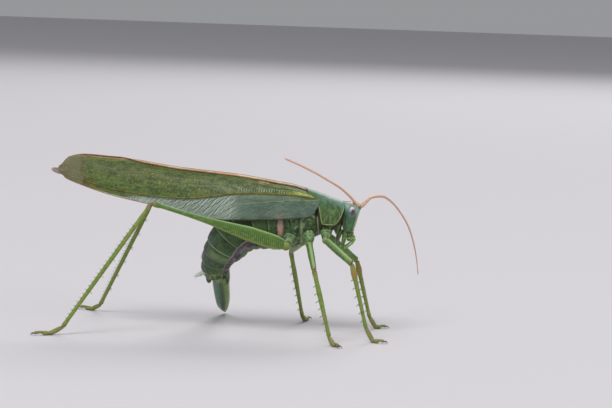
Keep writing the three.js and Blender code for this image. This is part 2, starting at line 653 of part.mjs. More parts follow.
for (const name of ['right', 'left']) {
  place(`cercus_${name}`, cut(cercus(name), abdomenLength(ABDOMEN_CUTS[2], 1, GAP)), FINISHES.body);
}
const abdomenFront = abdomenLength(0, ABDOMEN_CUTS[1], GAP);
for (const leg of LEGS) {
  place(`${leg.name}_coxa`, cut(coxa(leg), prothorax(GAP), thorax(GAP), abdomenFront), FINISHES.leg);
  place(`${leg.name}_femur`, cut(femur(leg), coxa(leg, GAP)), FINISHES.leg);
  place(`${leg.name}_tibia`, tibia(leg), FINISHES.leg);
  place(`${leg.name}_tarsus`, tarsus(leg), FINISHES.leg);
}
insect.position.set(-CENTRE.x, -CENTRE.y, 0);

export default insect;
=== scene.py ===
import math
import random
import bpy
from mathutils import Matrix, Vector


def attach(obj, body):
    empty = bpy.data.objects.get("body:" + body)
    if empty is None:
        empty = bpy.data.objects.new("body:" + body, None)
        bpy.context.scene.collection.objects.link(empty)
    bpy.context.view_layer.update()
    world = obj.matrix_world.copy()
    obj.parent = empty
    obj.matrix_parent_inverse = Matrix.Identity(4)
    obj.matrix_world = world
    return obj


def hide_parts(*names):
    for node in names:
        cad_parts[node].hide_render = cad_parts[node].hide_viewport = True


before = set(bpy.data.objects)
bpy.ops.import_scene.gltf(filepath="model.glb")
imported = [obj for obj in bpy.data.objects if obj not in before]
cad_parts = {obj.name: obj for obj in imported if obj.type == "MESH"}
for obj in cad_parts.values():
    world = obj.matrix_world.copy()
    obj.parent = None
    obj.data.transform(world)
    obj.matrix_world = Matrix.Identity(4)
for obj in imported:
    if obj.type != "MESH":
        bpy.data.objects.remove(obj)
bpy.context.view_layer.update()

# Sizes are millimetres, measured from the wing hinge as the solids' are: +X to the head, the
# insect's right side towards -Y, the floor at 0. "Back" runs from the hinge to the tail.
MM = 0.001
CENTRE_X, CENTRE_Y = -13.8, 8.1    # middle of the footprint, seen from the hinge
LEFT, RIGHT = 1, -1
SIDES = (RIGHT, "right"), (LEFT, "left")
SIDEWAYS = (0, 1, 0)
FULL_TURN = 2 * math.pi
MERGE_DISTANCE = 1e-6              # metres
STRAIGHT_STEPS, CURVE_STEPS = 200, 60   # points of a course before they are spaced evenly
HAIR_SEED, VEIN_SEED = 11, 5


def mm(x, y, z):
    """A place in millimetres from the wing hinge, in the model's own frame."""
    return Vector(((x - CENTRE_X) * MM, (y - CENTRE_Y) * MM, z * MM))


# ---------------------------------------------------------------- sizes

# Head: rows of [share down the face, height, rear x, front x, half width].
HEAD = [
    (0, 26.92, 7.7, 9.5, 0.35), (0.03, 26.88, 7.3, 9.8, 0.95), (0.07, 26.75, 7.1, 10.2, 1.45),
    (0.2, 26.15, 7, 10.72, 2.1), (0.36, 25.3, 7.1, 10.86, 2.42), (0.55, 23.9, 7.25, 10.5, 2.6),
    (0.75, 22.3, 7.4, 10.1, 2.45), (0.9, 21.2, 7.5, 9.8, 2.15), (0.97, 20.8, 7.6, 9.65, 1.8),
    (1, 20.65, 7.9, 9.4, 0.9),
]
HEAD_SQUARENESS = 0.85
CROWN_PEAK = [
    (0, 0.25, 0.35), (0.3, 0.38, 0.42), (0.75, 0.3, 0.34), (0.95, 0.18, 0.2), (1, 0.05, 0.05),
]
SOCKET_SIZE = [(0, 0.62), (0.7, 0.56), (0.95, 0.5), (1, 0.36)]
EYE_AT, EYE_SIZE = (9.25, 2.3, 25.25), (0.64, 0.6, 0.86)
PUPIL_AT = (0.22, 0.92, -0.16)     # in half sizes of the eye
SOCKET = (10.6, 0.9, 25.85)       # where a feeler is set in

# Feelers: the points that each passes, then rows of [share along, half width].
FEELER_RIGHT = [
    (10.75, -0.9, 25.95), (10.3, -0.95, 26.4), (9.7, -1.1, 26.95), (8.9, -1.4, 27.85),
    (7.6, -1.9, 29.05), (6.2, -2.4, 30.1), (4.1, -3.1, 31.3), (2, -3.8, 32.5), (-0.9, -4.8, 33.95),
    (-4.5, -6, 35.5),
]
FEELER_LEFT = [
    (10.85, 0.9, 25.8), (11.4, 1.3, 26.2), (12.3, 2.1, 27), (13.1, 3.4, 27.55), (14.8, 7, 27.55),
    (16.4, 11.6, 26.9), (18.8, 18, 24.6), (21.8, 25, 20), (23.8, 31, 14.3), (24.9, 35, 8.4),
]
NEAR_SIZE = [
    (0, 0.3), (0.01, 0.38), (0.03, 0.42), (0.055, 0.39), (0.062, 0.25), (0.068, 0.31), (0.09, 0.31),
    (0.095, 0.24), (0.105, 0.27), (0.3, 0.23), (0.97, 0.2), (1, 0.1),
]
FAR_SIZE = [
    (0, 0.3), (0.006, 0.4), (0.018, 0.43), (0.03, 0.4), (0.034, 0.26), (0.038, 0.33), (0.05, 0.33),
    (0.053, 0.25), (0.06, 0.28), (0.5, 0.2), (0.99, 0.1), (1, 0.04),
]
# Course, sizes, steps and number of joints.
FEELERS = {"right": (FEELER_RIGHT, NEAR_SIZE, 150, 44), "left": (FEELER_LEFT, FAR_SIZE, 260, 76)}

# Mouth parts: the points that the left or middle one passes, and rows of sizes as for a limb.
LIP_AT, LIP_SIZE = (9.45, 0, 20.05), (0.6, 2.5, 1.4)
JAW = [(8.75, 0.95, 21), (8.8, 0.95, 19.9), (8.9, 0.3, 19)]
JAW_SIZE = [(0, 0.62, 0.6), (0.5, 0.66, 0.55), (0.85, 0.42, 0.4), (1, 0.08, 0.08)]
UNDER_JAW = [(8.05, 1.2, 21), (7.9, 1.3, 19.7), (7.7, 1, 18.5), (7.9, 0.7, 17.8)]
UNDER_JAW_SIZE = [
    (0, 0.5, 0.55), (0.3, 0.45, 0.5), (0.6, 0.36, 0.4), (0.85, 0.26, 0.3), (1, 0.06, 0.06),
]
UNDER_LIP = [(7.2, 0, 21.2), (6.7, 0, 19.8), (6.5, 0, 18.6), (6.8, 0, 17.7)]
UNDER_LIP_SIZE = [
    (0, 1.5, 0.5), (0.3, 1.35, 0.5), (0.6, 1.1, 0.42), (0.85, 0.8, 0.34), (1, 0.3, 0.1),
]
THROAT = [(6.9, 0, 23), (6.5, 0, 21.4), (6.6, 0, 20.2)]
THROAT_SIZE = [(0, 1.6, 0.7), (0.5, 1.5, 0.75), (0.9, 1.2, 0.55), (1, 0.5, 0.2)]
PALPS = {
    "upper": ([(7.9, 1.6, 19.55), (8.9, 1.9, 19.7), (9.95, 2.25, 19.7), (9.5, 2.25, 18.8),
               (8.7, 2.1, 18.1), (7.9, 1.9, 17.5)],
              [(0, 0.14), (0.04, 0.17), (0.28, 0.19), (0.33, 0.22), (0.355, 0.15), (0.375, 0.17),
               (0.57, 0.19), (0.63, 0.22), (0.655, 0.14), (0.675, 0.16), (0.86, 0.2), (0.96, 0.27),
               (0.99, 0.23), (1, 0.08)]),
    "lower": ([(7.3, 0.65, 18.2), (7, 0.9, 17.4), (7.4, 1, 16.6)],
              [(0, 0.14), (0.1, 0.18), (0.42, 0.2), (0.49, 0.14), (0.55, 0.17), (0.85, 0.21),
               (0.95, 0.25), (1, 0.08)]),
}

# Saddle: rows of [x, top, half width], and of [share round to the hem, rear x, front x].
SADDLE_ARCH = [(-0.2, 29.35, 3.6), (2.7, 28.6, 4.1), (5.2, 27.7, 4.1), (7.7, 26.9, 3.4)]
SADDLE_MARGINS = [
    (0, -0.2, 7.7), (0.3, 0.5, 7.7), (0.5, 2.2, 7.6), (0.75, 2.8, 7.1), (0.9, 3.15, 6.4),
    (0.96, 3.4, 5.9), (0.99, 3.75, 5.45), (1, 4.15, 5),
]
SADDLE_HEM = 22.4

# Chest: rows of [share from neck to waist, x, top, bottom, half width].
CHEST = [
    (0, 8.7, 24.6, 23.6, 0.4), (0.03, 8.5, 25.3, 22.7, 1.3), (0.12, 7.2, 26.2, 21.9, 2.1),
    (0.2, 6.2, 26.7, 21.3, 2.7), (0.32, 4.5, 27, 20.6, 3), (0.43, 2.9, 26.9, 20, 3.2),
    (0.56, 1, 26.8, 19, 3.9), (0.7, -1, 26.9, 17.9, 4.3), (0.84, -3, 26.8, 17.1, 4.4),
    (0.93, -4.3, 26.6, 16.9, 4.3), (1, -5.2, 26.2, 17.3, 3.9),
]

# Abdomen: rows of [share along, dorsal x, y, z, ventral x, y, z, half width].
ABDOMEN = [
    (0, -4.6, 0, 26.7, -4.5, 0, 16.9, 4.4), (0.16, -9.5, 0, 26.9, -7.6, 0, 16.9, 4.5),
    (0.31, -14.2, 0.1, 25.1, -9.5, 0.1, 16.8, 4.5), (0.46, -17.8, 0.5, 21.9, -10.9, 0.5, 16.3, 4.3),
    (0.6, -19.5, 1.4, 18.3, -12.3, 1.3, 15, 3.9), (0.74, -20.5, 2.7, 15, -14, 2.6, 14.1, 3.3),
    (0.87, -20.7, 4.4, 12, -15, 4.3, 12.8, 2.6), (1, -19.6, 6.2, 9.8, -15.4, 5.6, 11, 1.7),
]
PLATE_ENDS = [0, 0.12, 0.24, 0.36, 0.48, 0.59, 0.675, 0.765, 0.87, 1]
# Shares round to the belly: end of the back plates, side fold, start of the belly plates.
PLATE_EDGE, FOLD_AT, BELLY_EDGE = 0.66, 0.735, 0.8
WRINKLES = 34                      # folds of the soft side, from end to end
# Plates at the tail: courses and sizes.
END_PLATE = [(-19.3, 5.6, 10.9), (-19.2, 7.4, 8.9)]
END_PLATE_SIZE = [(0, 1.2, 0.6), (0.5, 1.1, 0.62), (0.85, 0.8, 0.5), (1, 0.2, 0.1)]
LOWER_PLATE = [(-15.6, 4.6, 12.2), (-15.5, 6, 10.6), (-15.4, 8.2, 8.6)]
LOWER_PLATE_SIZE = [(0, 1.3, 0.5), (0.5, 1.3, 0.5), (0.85, 0.9, 0.36), (1, 0.3, 0.1)]

# Egg-laying blade: the course of its middle, and rows of [share along, half depth, half thickness].
BLADE_COURSE = [
    (-16.9, 6.2, 10.4), (-16.8, 10.8, 7.4), (-16.7, 15.6, 4.6), (-16.7, 20.2, 2.2),
    (-16.4, 24.6, 0.35),
]
BLADE_SIZE = [
    (0, 1.75, 0.95), (0.12, 1.75, 0.8), (0.35, 1.68, 0.62), (0.6, 1.48, 0.55), (0.78, 1.15, 0.46),
    (0.91, 0.6, 0.36), (1, 0.1, 0.1),
]
# Cerci: share along the abdomen, degrees off its back and of twist, height of the root, length.
CERCUS_SHARE, CERCUS_SPREAD, TIP_TWIST, CERCUS_ROOT, CERCUS_LENGTH = 0.88, 41, 14, -0.6, 2.6
CERCUS_SIZE = [(0, 0.42), (0.15, 0.5), (0.5, 0.42), (0.85, 0.26), (1, 0.06)]
CERCUS_HAIRS = 46

# Forewing: rows of [back, top, lower edge, half span].
WING = [
    (-2.4, 28.4, 25.3, 4.2), (-0.9, 29.1, 23.9, 4.6), (1.2, 29.5, 23.6, 4.9),
    (5.9, 30.2, 23.2, 5.1), (13.2, 31.3, 22.8, 4.95), (17.6, 31.7, 22.6, 4.6),
    (24.9, 32.3, 24.1, 4), (38.9, 34.1, 26.8, 3), (44.6, 34.4, 28.5, 2.4), (47.6, 33.75, 29.6, 2),
    (49, 32.4, 30.5, 1.8),
]
# Lap over the back: degrees past the middle, mm sunk, degrees where that fades out.
# Then how far back each ends, and the degrees at the wing's tip.
LAP_ANGLE, LAP_DROP, LAP_FADE = 14, 0.25, 55
LAP_ENDS, DROP_ENDS, TIP_ANGLE = (32, 40), (42, 48), 9

# Legs: coxa root, hip, knee, ankle and toe.
LEGS = {
    "foreleg_right": ((4.2, -2.4, 21.6), (4.2, -3.9, 19.3), (9.4, -9, 15.4), (12.6, -9.1, 2.9),
                      (16.2, -10.2, 0.45)),
    "foreleg_left": ((4.4, 2.4, 22), (4.7, 3.8, 19.6), (10.8, 7.8, 14.2), (13.8, 9, 2.6),
                     (17.2, 10.6, 0.45)),
    "midleg_right": ((0.7, -3, 20.8), (0.9, -4.4, 18.5), (2, -13, 14.4), (5.4, -13.7, 1.5),
                     (7.2, -18, 0.45)),
    "midleg_left": ((0, 3, 20.6), (-0.5, 4.4, 17.9), (-2.8, 13.6, 15), (0, 15, 1.5),
                    (1.4, 19.5, 0.45)),
    "hindleg_right": ((-2.7, -2.6, 20), (-3.7, -4.7, 18.1), (-30.2, -9, 26), (-46.6, -13, 1.5),
                      (-51.8, -15, 0.45)),
    "hindleg_left": ((-2.8, 2.6, 19.8), (-3.8, 4.7, 17.8), (-31, 8.6, 25.4), (-42.6, 20.6, 1.5),
                     (-47, 24, 0.45)),
}


# ---------------------------------------------------------------- shaping helpers

def graded(rows, place):
    """Smooth values between the rows of a table whose first column is the place."""
    last = len(rows) - 1
    i = 0
    while i < last - 1 and place > rows[i + 1][0]:
        i += 1
    span = rows[i + 1][0] - rows[i][0]
    t = min(max((place - rows[i][0]) / span, 0), 1)

    def rise(j, k):
        return (rows[j + 1][k] - rows[j][k]) / (rows[j + 1][0] - rows[j][0])

    def slope(j, k):
        if j == 0:
            return rise(0, k)
        if j == last:
            return rise(last - 1, k)
        before, after = rise(j - 1, k), rise(j, k)
        return 2 * before * after / (before + after) if before * after > 0 else 0

    values = []
    for k in range(1, len(rows[0])):
        start, end = rows[i][k], rows[i + 1][k]
        lean = (1 - t) * slope(i, k) - t * slope(i + 1, k)
        values.append(start + (end - start) * t * t * (3 - 2 * t) + span * t * (1 - t) * lean)
    return values


def read(rows, place):
    """The value in a table of two columns."""
    return graded(rows, place)[0]


def smooth(value, low, high):
    """0 below low, 1 above high, eased between."""
    t = min(max((value - low) / (high - low), 0), 1)
    return t * t * (3 - 2 * t)


def hill(value, middle, width):
    """1 at the middle, falling away on both sides."""
    return math.exp(-((value - middle) / width) ** 2)


def blended(start, end, share):
    return start + (end - start) * share


def swell(value, power):
    return math.copysign(abs(value) ** power, value)


def half_turns(angle):
    """How far round an angle is on either side: 0 at its start, 1 opposite."""
    return abs(angle) / math.pi


def on_arch(top, rise, half, angle, out):
    """Side and height of a point round an arch from its top, moved outwards."""
    normal = Vector((rise * math.sin(angle), half * math.cos(angle))).normalized()
    return (half * math.sin(angle) + out * normal.x,
            top - rise * (1 - math.cos(angle)) + out * normal.y)


def sided(points, hand):
    """Points given for the left side, on either side."""
    return [(x, hand * y, z) for x, y, z in points]


def deselect():
    if bpy.context.mode != "OBJECT":
        bpy.ops.object.mode_set(mode="OBJECT")
    bpy.ops.object.select_all(action="DESELECT")


def choose(piece):
    """Selects one piece alone and makes it the active one."""
    deselect()
    piece.select_set(True)
    bpy.context.view_layer.objects.active = piece


def edit_all(piece):
    """Opens a piece in edit mode with everything selected."""
    choose(piece)
    bpy.ops.object.mode_set(mode="EDIT")
    bpy.ops.mesh.select_all(action="SELECT")


def face_out():
    """Turns all faces of the mesh in edit mode outwards, and leaves edit mode."""
    bpy.ops.mesh.select_all(action="SELECT")
    bpy.ops.mesh.normals_make_consistent(inside=False)
    bpy.ops.object.mode_set(mode="OBJECT")


def named(name):
    piece = bpy.context.object
    piece.name = name
    piece.data.name = name
    return piece


def settled(piece):
    """Applies a piece's place, turn and size to its mesh, and smooths its shading."""
    choose(piece)
    bpy.ops.object.transform_apply(location=True, rotation=True, scale=True)
    bpy.ops.object.shade_smooth()
    return piece


def modified(piece, kind, **settings):
    """Adds a modifier with its settings, and applies it."""
    choose(piece)
    modifier = piece.modifiers.new(kind.lower(), kind)
    for setting, value in settings.items():
        setattr(modifier, setting, value)
    bpy.ops.object.modifier_apply(modifier=modifier.name)
    return piece


def walled(piece, thickness, offset):
    """Gives a sheet a wall: centred on it for an offset of 0, under it for -1."""
    edit_all(modified(piece, "SOLIDIFY", thickness=thickness * MM, offset=offset))
    face_out()
    return settled(piece)


def joined(pieces, name):
    """Several pieces made one object."""
    choose(pieces[0])
    for piece in pieces[1:]:
        piece.select_set(True)
    bpy.ops.object.join()
    return named(name)


def set_in_scene(name, data):
    piece = bpy.data.objects.new(name, data)
    bpy.context.scene.collection.objects.link(piece)
    return piece


def marked(piece, notes):
    """Writes named numbers on the points of a mesh, one set for each, for its finish to read."""
    for name in notes[0]:
        layer = piece.data.attributes.new(name, "FLOAT", "POINT")
        layer.data.foreach_set("value", [note[name] for note in notes])
    return piece


def sheet(name, lengthwise, crosswise, surface, marks):
    """A grid laid over a surface: surface(share along, share across) gives each point in mm.

    marks(share along, share across) gives named numbers for the finish."""
    deselect()
    bpy.ops.mesh.primitive_grid_add(x_subdivisions=lengthwise, y_subdivisions=crosswise, size=2)
    piece = named(name)
    notes = []
    for vertex in piece.data.vertices:
        along, across = (vertex.co.x + 1) / 2, (vertex.co.y + 1) / 2
        vertex.co = mm(*surface(along, across))
        notes.append(marks(along, across))
    return marked(piece, notes)


def tube(name, sides, steps, ring, marks):
    """A closed skin round a length: ring(share along, angle) gives each point in mm.

    The angle runs from -pi to pi, 0 at the back's middle, and the seam lies under the belly."""
    def turn(across):
        return math.pi * (2 * across - 1)

    def surface(along, across):
        return ring(along, turn(across))

    def noted(along, across):
        angle = turn(across)
        return {"along": along, "around": half_turns(angle), **marks(along, angle)}

    piece = sheet(name, steps, sides, surface, noted)
    edit_all(piece)
    bpy.ops.mesh.remove_doubles(threshold=MERGE_DISTANCE)
    bpy.ops.mesh.fill_holes(sides=0)
    face_out()
    return settled(piece)


def course_frames(course, steps):
    """Points spaced evenly along a smooth course, with the way that it runs at each."""
    knots = [Vector(point) for point in course]
    if len(knots) == 2:
        fine = [knots[0].lerp(knots[1], i / STRAIGHT_STEPS) for i in range(STRAIGHT_STEPS + 1)]
    else:
        fine = []
        ends = [2 * knots[0] - knots[1]] + knots + [2 * knots[-1] - knots[-2]]
        for a, b, c, d in zip(ends, ends[1:], ends[2:], ends[3:]):
            for i in range(CURVE_STEPS):
                t = i / CURVE_STEPS
                fine.append(0.5 * (2 * b + (c - a) * t + (2 * a - 5 * b + 4 * c - d) * t ** 2
                                   + (3 * b - a - 3 * c + d) * t ** 3))
        fine.append(knots[-1])
    walked = [0]
    for a, b in zip(fine, fine[1:]):
        walked.append(walked[-1] + (b - a).length)
    frames = []
    i = 0
    for step in range(steps + 1):
        goal = walked[-1] * step / steps
        while i < len(fine) - 2 and walked[i + 1] < goal:
            i += 1
        part = (goal - walked[i]) / (walked[i + 1] - walked[i])
        way = (fine[i + 1] - fine[i]).normalized()
        frames.append((fine[i].lerp(fine[i + 1], min(part, 1)), way))
    return frames


def limb(name, course, sizes, sides=16, steps=24, upright=(0, 0, 1), shape=None, marks=None):
    """A tapering limb: a disc drawn out and scaled ring by ring, then laid along its course.

    sizes has rows of [share along, half depth, half width]. shape(share, angle) may swell or
    dent it, as a factor of its radius, with the angle 0 on its upright side."""
    deselect()
    bpy.ops.mesh.primitive_circle_add(vertices=sides, radius=1, fill_type="NGON")
    piece = named(name)
    edit_all(piece)
    for _ in range(steps):
        bpy.ops.mesh.extrude_region_move(TRANSFORM_OT_translate={"value": (0, 0, 1 / steps)})
    face_out()
    frames = course_frames(course, steps)
    notes = []
    for vertex in piece.data.vertices:
        x, y, share = vertex.co
        angle = math.atan2(x, y)
        middle, way = frames[round(share * steps)]
        side = way.cross(Vector(upright)).normalized()
        depth = side.cross(way)
        size = graded(sizes, share)
        high, wide = size[0], size[-1]
        factor = shape(share, angle) if shape else 1
        vertex.co = mm(*(middle + depth * high * factor * math.cos(angle)
                         + side * wide * factor * math.sin(angle)))
        note = {"along": share, "around": half_turns(angle)}
        notes.append({**note, **marks(share, angle)} if marks else note)
    return settled(marked(piece, notes))


def ball(name, at, size, around=24):
    """A rounded lump of the given half sizes."""
    deselect()
    bpy.ops.mesh.primitive_uv_sphere_add(
        segments=around, ring_count=around * 2 // 3, radius=MM, location=mm(*at))
    piece = named(name)
    bpy.ops.transform.resize(value=size)
    return settled(piece)


# ---------------------------------------------------------------- colours

PLATE_GREEN, PLATE_TEAL, PLATE_DARK, PLATE_LIGHT = "425c2c", "38563e", "1a2714", "728a54"
BACK_BROWN, PLATE_EDGE_PALE, SEAM_DARK, PALE_LINE = "6b5236", "8fa37a", "141a12", "a9b98a"
FOLD_PURPLE, FOLD_AND_SHEEN_GREY, FOLD_PINK = "4f4450", "707a80", "a08a88"
HINGE_PINK, BELLY_GREEN = "a88a7c", "5f7a45"
SADDLE_OLIVE, SADDLE_DARK, SADDLE_SHEEN_TEAL, SADDLE_NET = "4f6c34", "2a3d1e", "5f8274", "82a060"
SADDLE_LEAF, SADDLE_SPOT, SADDLE_PINK = "3f6a34", "3c3526", "a58f84"
STRIPE_BROWN, STRIPE_PALE, RIM_YELLOW = "7a5a40", "a39a78", "94a164"
CHEEK_GREEN, CHEEK_TEAL, CHEEK_DARK, CHEEK_LEAF = "45664a", "7ba69e", "2b4032", "528a44"
FACE_YELLOW, FACE_PINK, MOUTH_BROWN = "9aae62", "b9968a", "5b4630"
EYE_GREY, EYE_HIGHLIGHT_PINK, EYE_DARK, EYE_PUPIL = "84747c", "cdbac2", "463a48", "2e1712"
MOUTH_GREEN, MOUTH_DARK = "6a9048", "3c4c30"
JAW_GREEN, JAW_BROWN, JAW_LEAF = "58763a", "55482c", "7aa24a"
PALP_GREEN, PALP_DARK = "7aa848", "4e7a34"
FEELER_ORANGE, FEELER_PINK, FEELER_ROOT, FEELER_DARK = "d8a684", "dcb2a2", "cfa88a", "94705a"
BLADE_GREEN, BLADE_DARK, BLADE_PALE, BLADE_RUST = "4e6c30", "25401f", "bcc8a8", "9a5c30"
BLADE_TEAL, BLADE_LEAF, BLADE_SPOT = "457a5e", "86a045", "33291c"
CERCUS_PALE, CERCUS_GREEN = "d6dcd6", "8a9c7c"
WING_OLIVE, WING_DARK, WING_GREEN, WING_YELLOW = "5f672c", "3c4720", "4e6636", "8c8238"
WING_LEAF, WING_LEAF_DARK, WING_NET, WING_ROOT = "58782e", "316426", "333b1e", "c0c468"
WING_UMBER, WING_COOL, WING_GAP = "625522", "465f48", "294a36"
WING_PALE, WING_TEAL, WING_TEAL_DARK = "8a9874", "738874", "4f685a"
WING_CLEAR, WING_APEX, WING_APEX_DARK = "bac8ba", "7f7d5e", "5c5a46"
WING_BROWN, WING_BROWN_DARK, WING_STAIN_AND_SHADOW = "8a6a42", "63452a", "66463e"
EDGE_BROWN, EDGE_PINK, EDGE_PALE, HEM_WHITE = "b87e50", "cc9f8c", "d6bc9c", "d3d6c4"
VEIN_SHADE, VEIN_UMBER = "414b26", "6e4f2c"
# The hem's dark colour along the lower margin is painted shadow.
VEIN_COLOURS = {
    "main": "74722a", "second": "8ca070", "stripe": "6f8440", "edge": "a8835a", "net": "66723a",
    "comb": "a9be9a", "clear": "4a6450", "front": "748c7c", "hem": "4f4736",
}
FAN_PALE, FAN_GREEN, FAN_PINK, FAN_VEIN = "b9c2a2", "93a67a", "c9aba4", "7d7a5a"
LEG_GREEN, LEG_YELLOW, LEG_DARK, LEG_PALE = "608630", "859636", "3d6420", "a0b880"
LEG_BLUE, LEG_DEEP, LEG_OCHRE = "587c4e", "2c4222", "848c3c"
KNEE_BROWN, KNEE_DARK, EAR_BROWN, FOOT_BROWN = "8a7850", "5a4436", "a8743f", "86794a"
SPINE_PALE, SPINE_TIP = "a0b070", "2c2218"
CLAW_BROWN, CLAW_DARK = "6b4a2a", "2a1c12"



# ---------------------------------------------------------------- finishes

NOISE_ROUGHNESS = 0.55
FIRST_COLOUR, SECOND_COLOUR, COLOUR_RESULT = 6, 7, 2   # sockets of a colour mix


class Value:
    """A shader socket that Python's own operators can be used on."""

    def __init__(self, finish, socket):
        self.finish = finish
        self.socket = socket

    def __add__(self, other):
        return self.finish.maths("ADD", self, other)

    def __sub__(self, other):
        return self.finish.maths("SUBTRACT", self, other)

    def __rsub__(self, other):
        return self.finish.maths("SUBTRACT", other, self)

    def __mul__(self, other):
        return self.finish.maths("MULTIPLY", self, other)

    def __truediv__(self, other):
        return self.finish.maths("DIVIDE", self, other)

    __radd__ = __add__
    __rmul__ = __mul__

    def eased(self, low, high, start=0, end=1):
        """start at low, end at high, eased between; low may be the greater one."""
        smoothly = {"interpolation_type": "SMOOTHSTEP"}
        return self.finish.value("ShaderNodeMapRange", "Result", smoothly, {
            "Value": self, "From Min": low, "From Max": high, "To Min": start, "To Max": end,
        })

    def band(self, low, high, soft):
        """1 between two values, fading over soft at each."""
        return self.eased(low - soft, low + soft) * self.eased(high + soft, high - soft)

    def lines(self, low, high):
        """Lines at the whole numbers, coming up from low to high parts of half a step."""
        apart = self.finish.maths("ABSOLUTE", self.finish.maths("FRACT", self) - 0.5)
        return apart.eased(low, high)


class Finish:
    """A material being made."""

    def __init__(self, name, **constants):
        self.material = bpy.data.materials.new(name)
        self.material.use_nodes = True
        self.tree = self.material.node_tree
        self.shader = self.tree.nodes["Principled BSDF"]
        self.done(**constants)
        self.place = self.node("ShaderNodeTexCoord").outputs["Object"]

    def node(self, kind, settings=None, inputs=None):
        """A node of a type: its settings are set first, then the values or links of its sockets."""
        node = self.tree.nodes.new(kind)
        for setting, value in (settings or {}).items():
            setattr(node, setting, value)
        for socket, value in (inputs or {}).items():
            self.give(node.inputs[socket], value)
        return node

    def value(self, kind, output, settings=None, inputs=None):
        """One output of a new node."""
        return Value(self, self.node(kind, settings, inputs).outputs[output])

    def give(self, socket, value):
        if isinstance(value, Value):
            value = value.socket
        if isinstance(value, bpy.types.NodeSocket):
            self.tree.links.new(value, socket)
        elif isinstance(value, str):
            socket.default_value = linear(value)
        else:
            socket.default_value = value

    def maths(self, operation, first, second=0):
        return self.value("ShaderNodeMath", 0, {"operation": operation}, {0: first, 1: second})

    def ahead(self):
        """Millimetres in front of the wing hinge."""
        x = self.value("ShaderNodeSeparateXYZ", "X", None, {"Vector": self.place})
        return x / MM + CENTRE_X

    def marks(self, *names):
        """Named numbers written on the mesh."""
        kind = "ShaderNodeAttribute"
        return [self.value(kind, "Fac", {"attribute_name": name}) for name in names]

    def stretched(self, factors):
        """The place on the model, with its distances multiplied along each axis."""
        if not factors:
            return self.place
        return self.value("ShaderNodeMapping", 0, None, {"Vector": self.place, "Scale": factors})

    def noise(self, scale, detail=3, stretch=None, distortion=0):
        """Cloudy pattern, 0 to 1; scale is how many of its spots fit in a metre."""
        return self.value("ShaderNodeTexNoise", "Fac", None, {
            "Vector": self.stretched(stretch), "Scale": scale, "Detail": detail,
            "Roughness": NOISE_ROUGHNESS, "Distortion": distortion,
        })

    def cells(self, scale, feature="F1", stretch=None, randomness=1):
        """Distance pattern of irregular cells."""
        return self.value("ShaderNodeTexVoronoi", "Distance", {"feature": feature}, {
            "Vector": self.stretched(stretch), "Scale": scale, "Randomness": randomness,
        })

    def layered(self, base, *layers):
        """A base colour with others laid over it, each given as (colour, factor)."""
        for over, factor in layers:
            base = self.value("ShaderNodeMix", COLOUR_RESULT, {"data_type": "RGBA"}, {
                "Factor": factor, FIRST_COLOUR: base, SECOND_COLOUR: over,
            })
        return base

    def bump(self, height, depth, strength=0.5):
        """Raises and sinks the surface by up to depth in mm."""
        node = self.node("ShaderNodeBump", None, {
            "Height": height, "Distance": depth * MM, "Strength": strength,
        })
        self.give(self.shader.inputs["Normal"], node.outputs[0])

    def done(self, **sockets):
        """Sets sockets of the shader, written with _ for a space."""
        for socket, value in sockets.items():
            self.give(self.shader.inputs[socket.replace("_", " ")], value)
        return self.material


def linear(code):
    """A screen colour such as '5a7a3c' as the numbers that the shader takes."""
    parts = [int(code[i:i + 2], 16) / 255 for i in (0, 2, 4)]
    return [v / 12.92 if v <= 0.04045 else ((v + 0.055) / 1.055) ** 2.4 for v in parts] + [1]


def finished(piece, material):
    piece.data.materials.clear()
    piece.data.materials.append(material)
    return piece


def handed_in(piece, slot, *nodes):
    """Rides a finished piece on the still body, in place of the nodes that it stands for."""
    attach(piece, "root")
    if nodes:
        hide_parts(*nodes)


def cuticle(name, colour, shade, roughness=0.42):
    """Plain insect skin: a colour mottled with a darker shade, finely pitted."""
    finish = Finish(name, Coat_Weight=0.15, Coat_Roughness=0.3)
    mottle = finish.noise(900, 4).eased(0.35, 0.7)
    finish.bump(finish.cells(9000), 0.02)
    base = finish.layered(colour, (shade, mottle * 0.7))
    return finish.done(Base_Color=base, Roughness=roughness + (mottle - 0.5) * 0.12)


# ---------------------------------------------------------------- chest and abdomen

TRUNK_SQUARENESS, TRUNK_TAPER = 0.9, 0.2
# Seams between the side plates of the chest: x at the wing, x at the coxae, depth, half width.
CHEST_SEAMS = [
    (2.2, 3, 0.3, 0.22), (0.2, 1.2, 0.16, 0.14), (-1.5, -0.4, 0.3, 0.2), (-3.6, -2.4, 0.16, 0.14),
]
SEAM_TOP, SEAM_FOOT = 24.5, 19


def seam_depth(x, z):
    share = (SEAM_TOP - z) / (SEAM_TOP - SEAM_FOOT)
    return sum(depth * hill(x, blended(top, foot, share), width)
               for top, foot, depth, width in CHEST_SEAMS)


def chest_point(share, angle):
    x, top, bottom, half = graded(CHEST, share)
    up, out = math.cos(angle), math.sin(angle)
    width = half * (1 + TRUNK_TAPER * up if up < 0 else 1)
    z = (top + bottom) / 2 + (top - bottom) / 2 * swell(up, TRUNK_SQUARENESS)
    dent = seam_depth(x, z) + 0.5 * hill(x, 5.6, 0.9) * smooth(-up, -0.2, 0.5)
    flank = abs(out) ** 0.5
    bulge = 0.16 * math.sin(2.1 * x + 0.4) * flank
    y = (width - dent * flank + bulge) * swell(out, TRUNK_SQUARENESS)
    return x, y, z


def abdomen_axis(share):
    dx, dy, dz, vx, vy, vz, _ = graded(ABDOMEN, share)
    return Vector(((dx + vx) / 2, (dy + vy) / 2, (dz + vz) / 2))


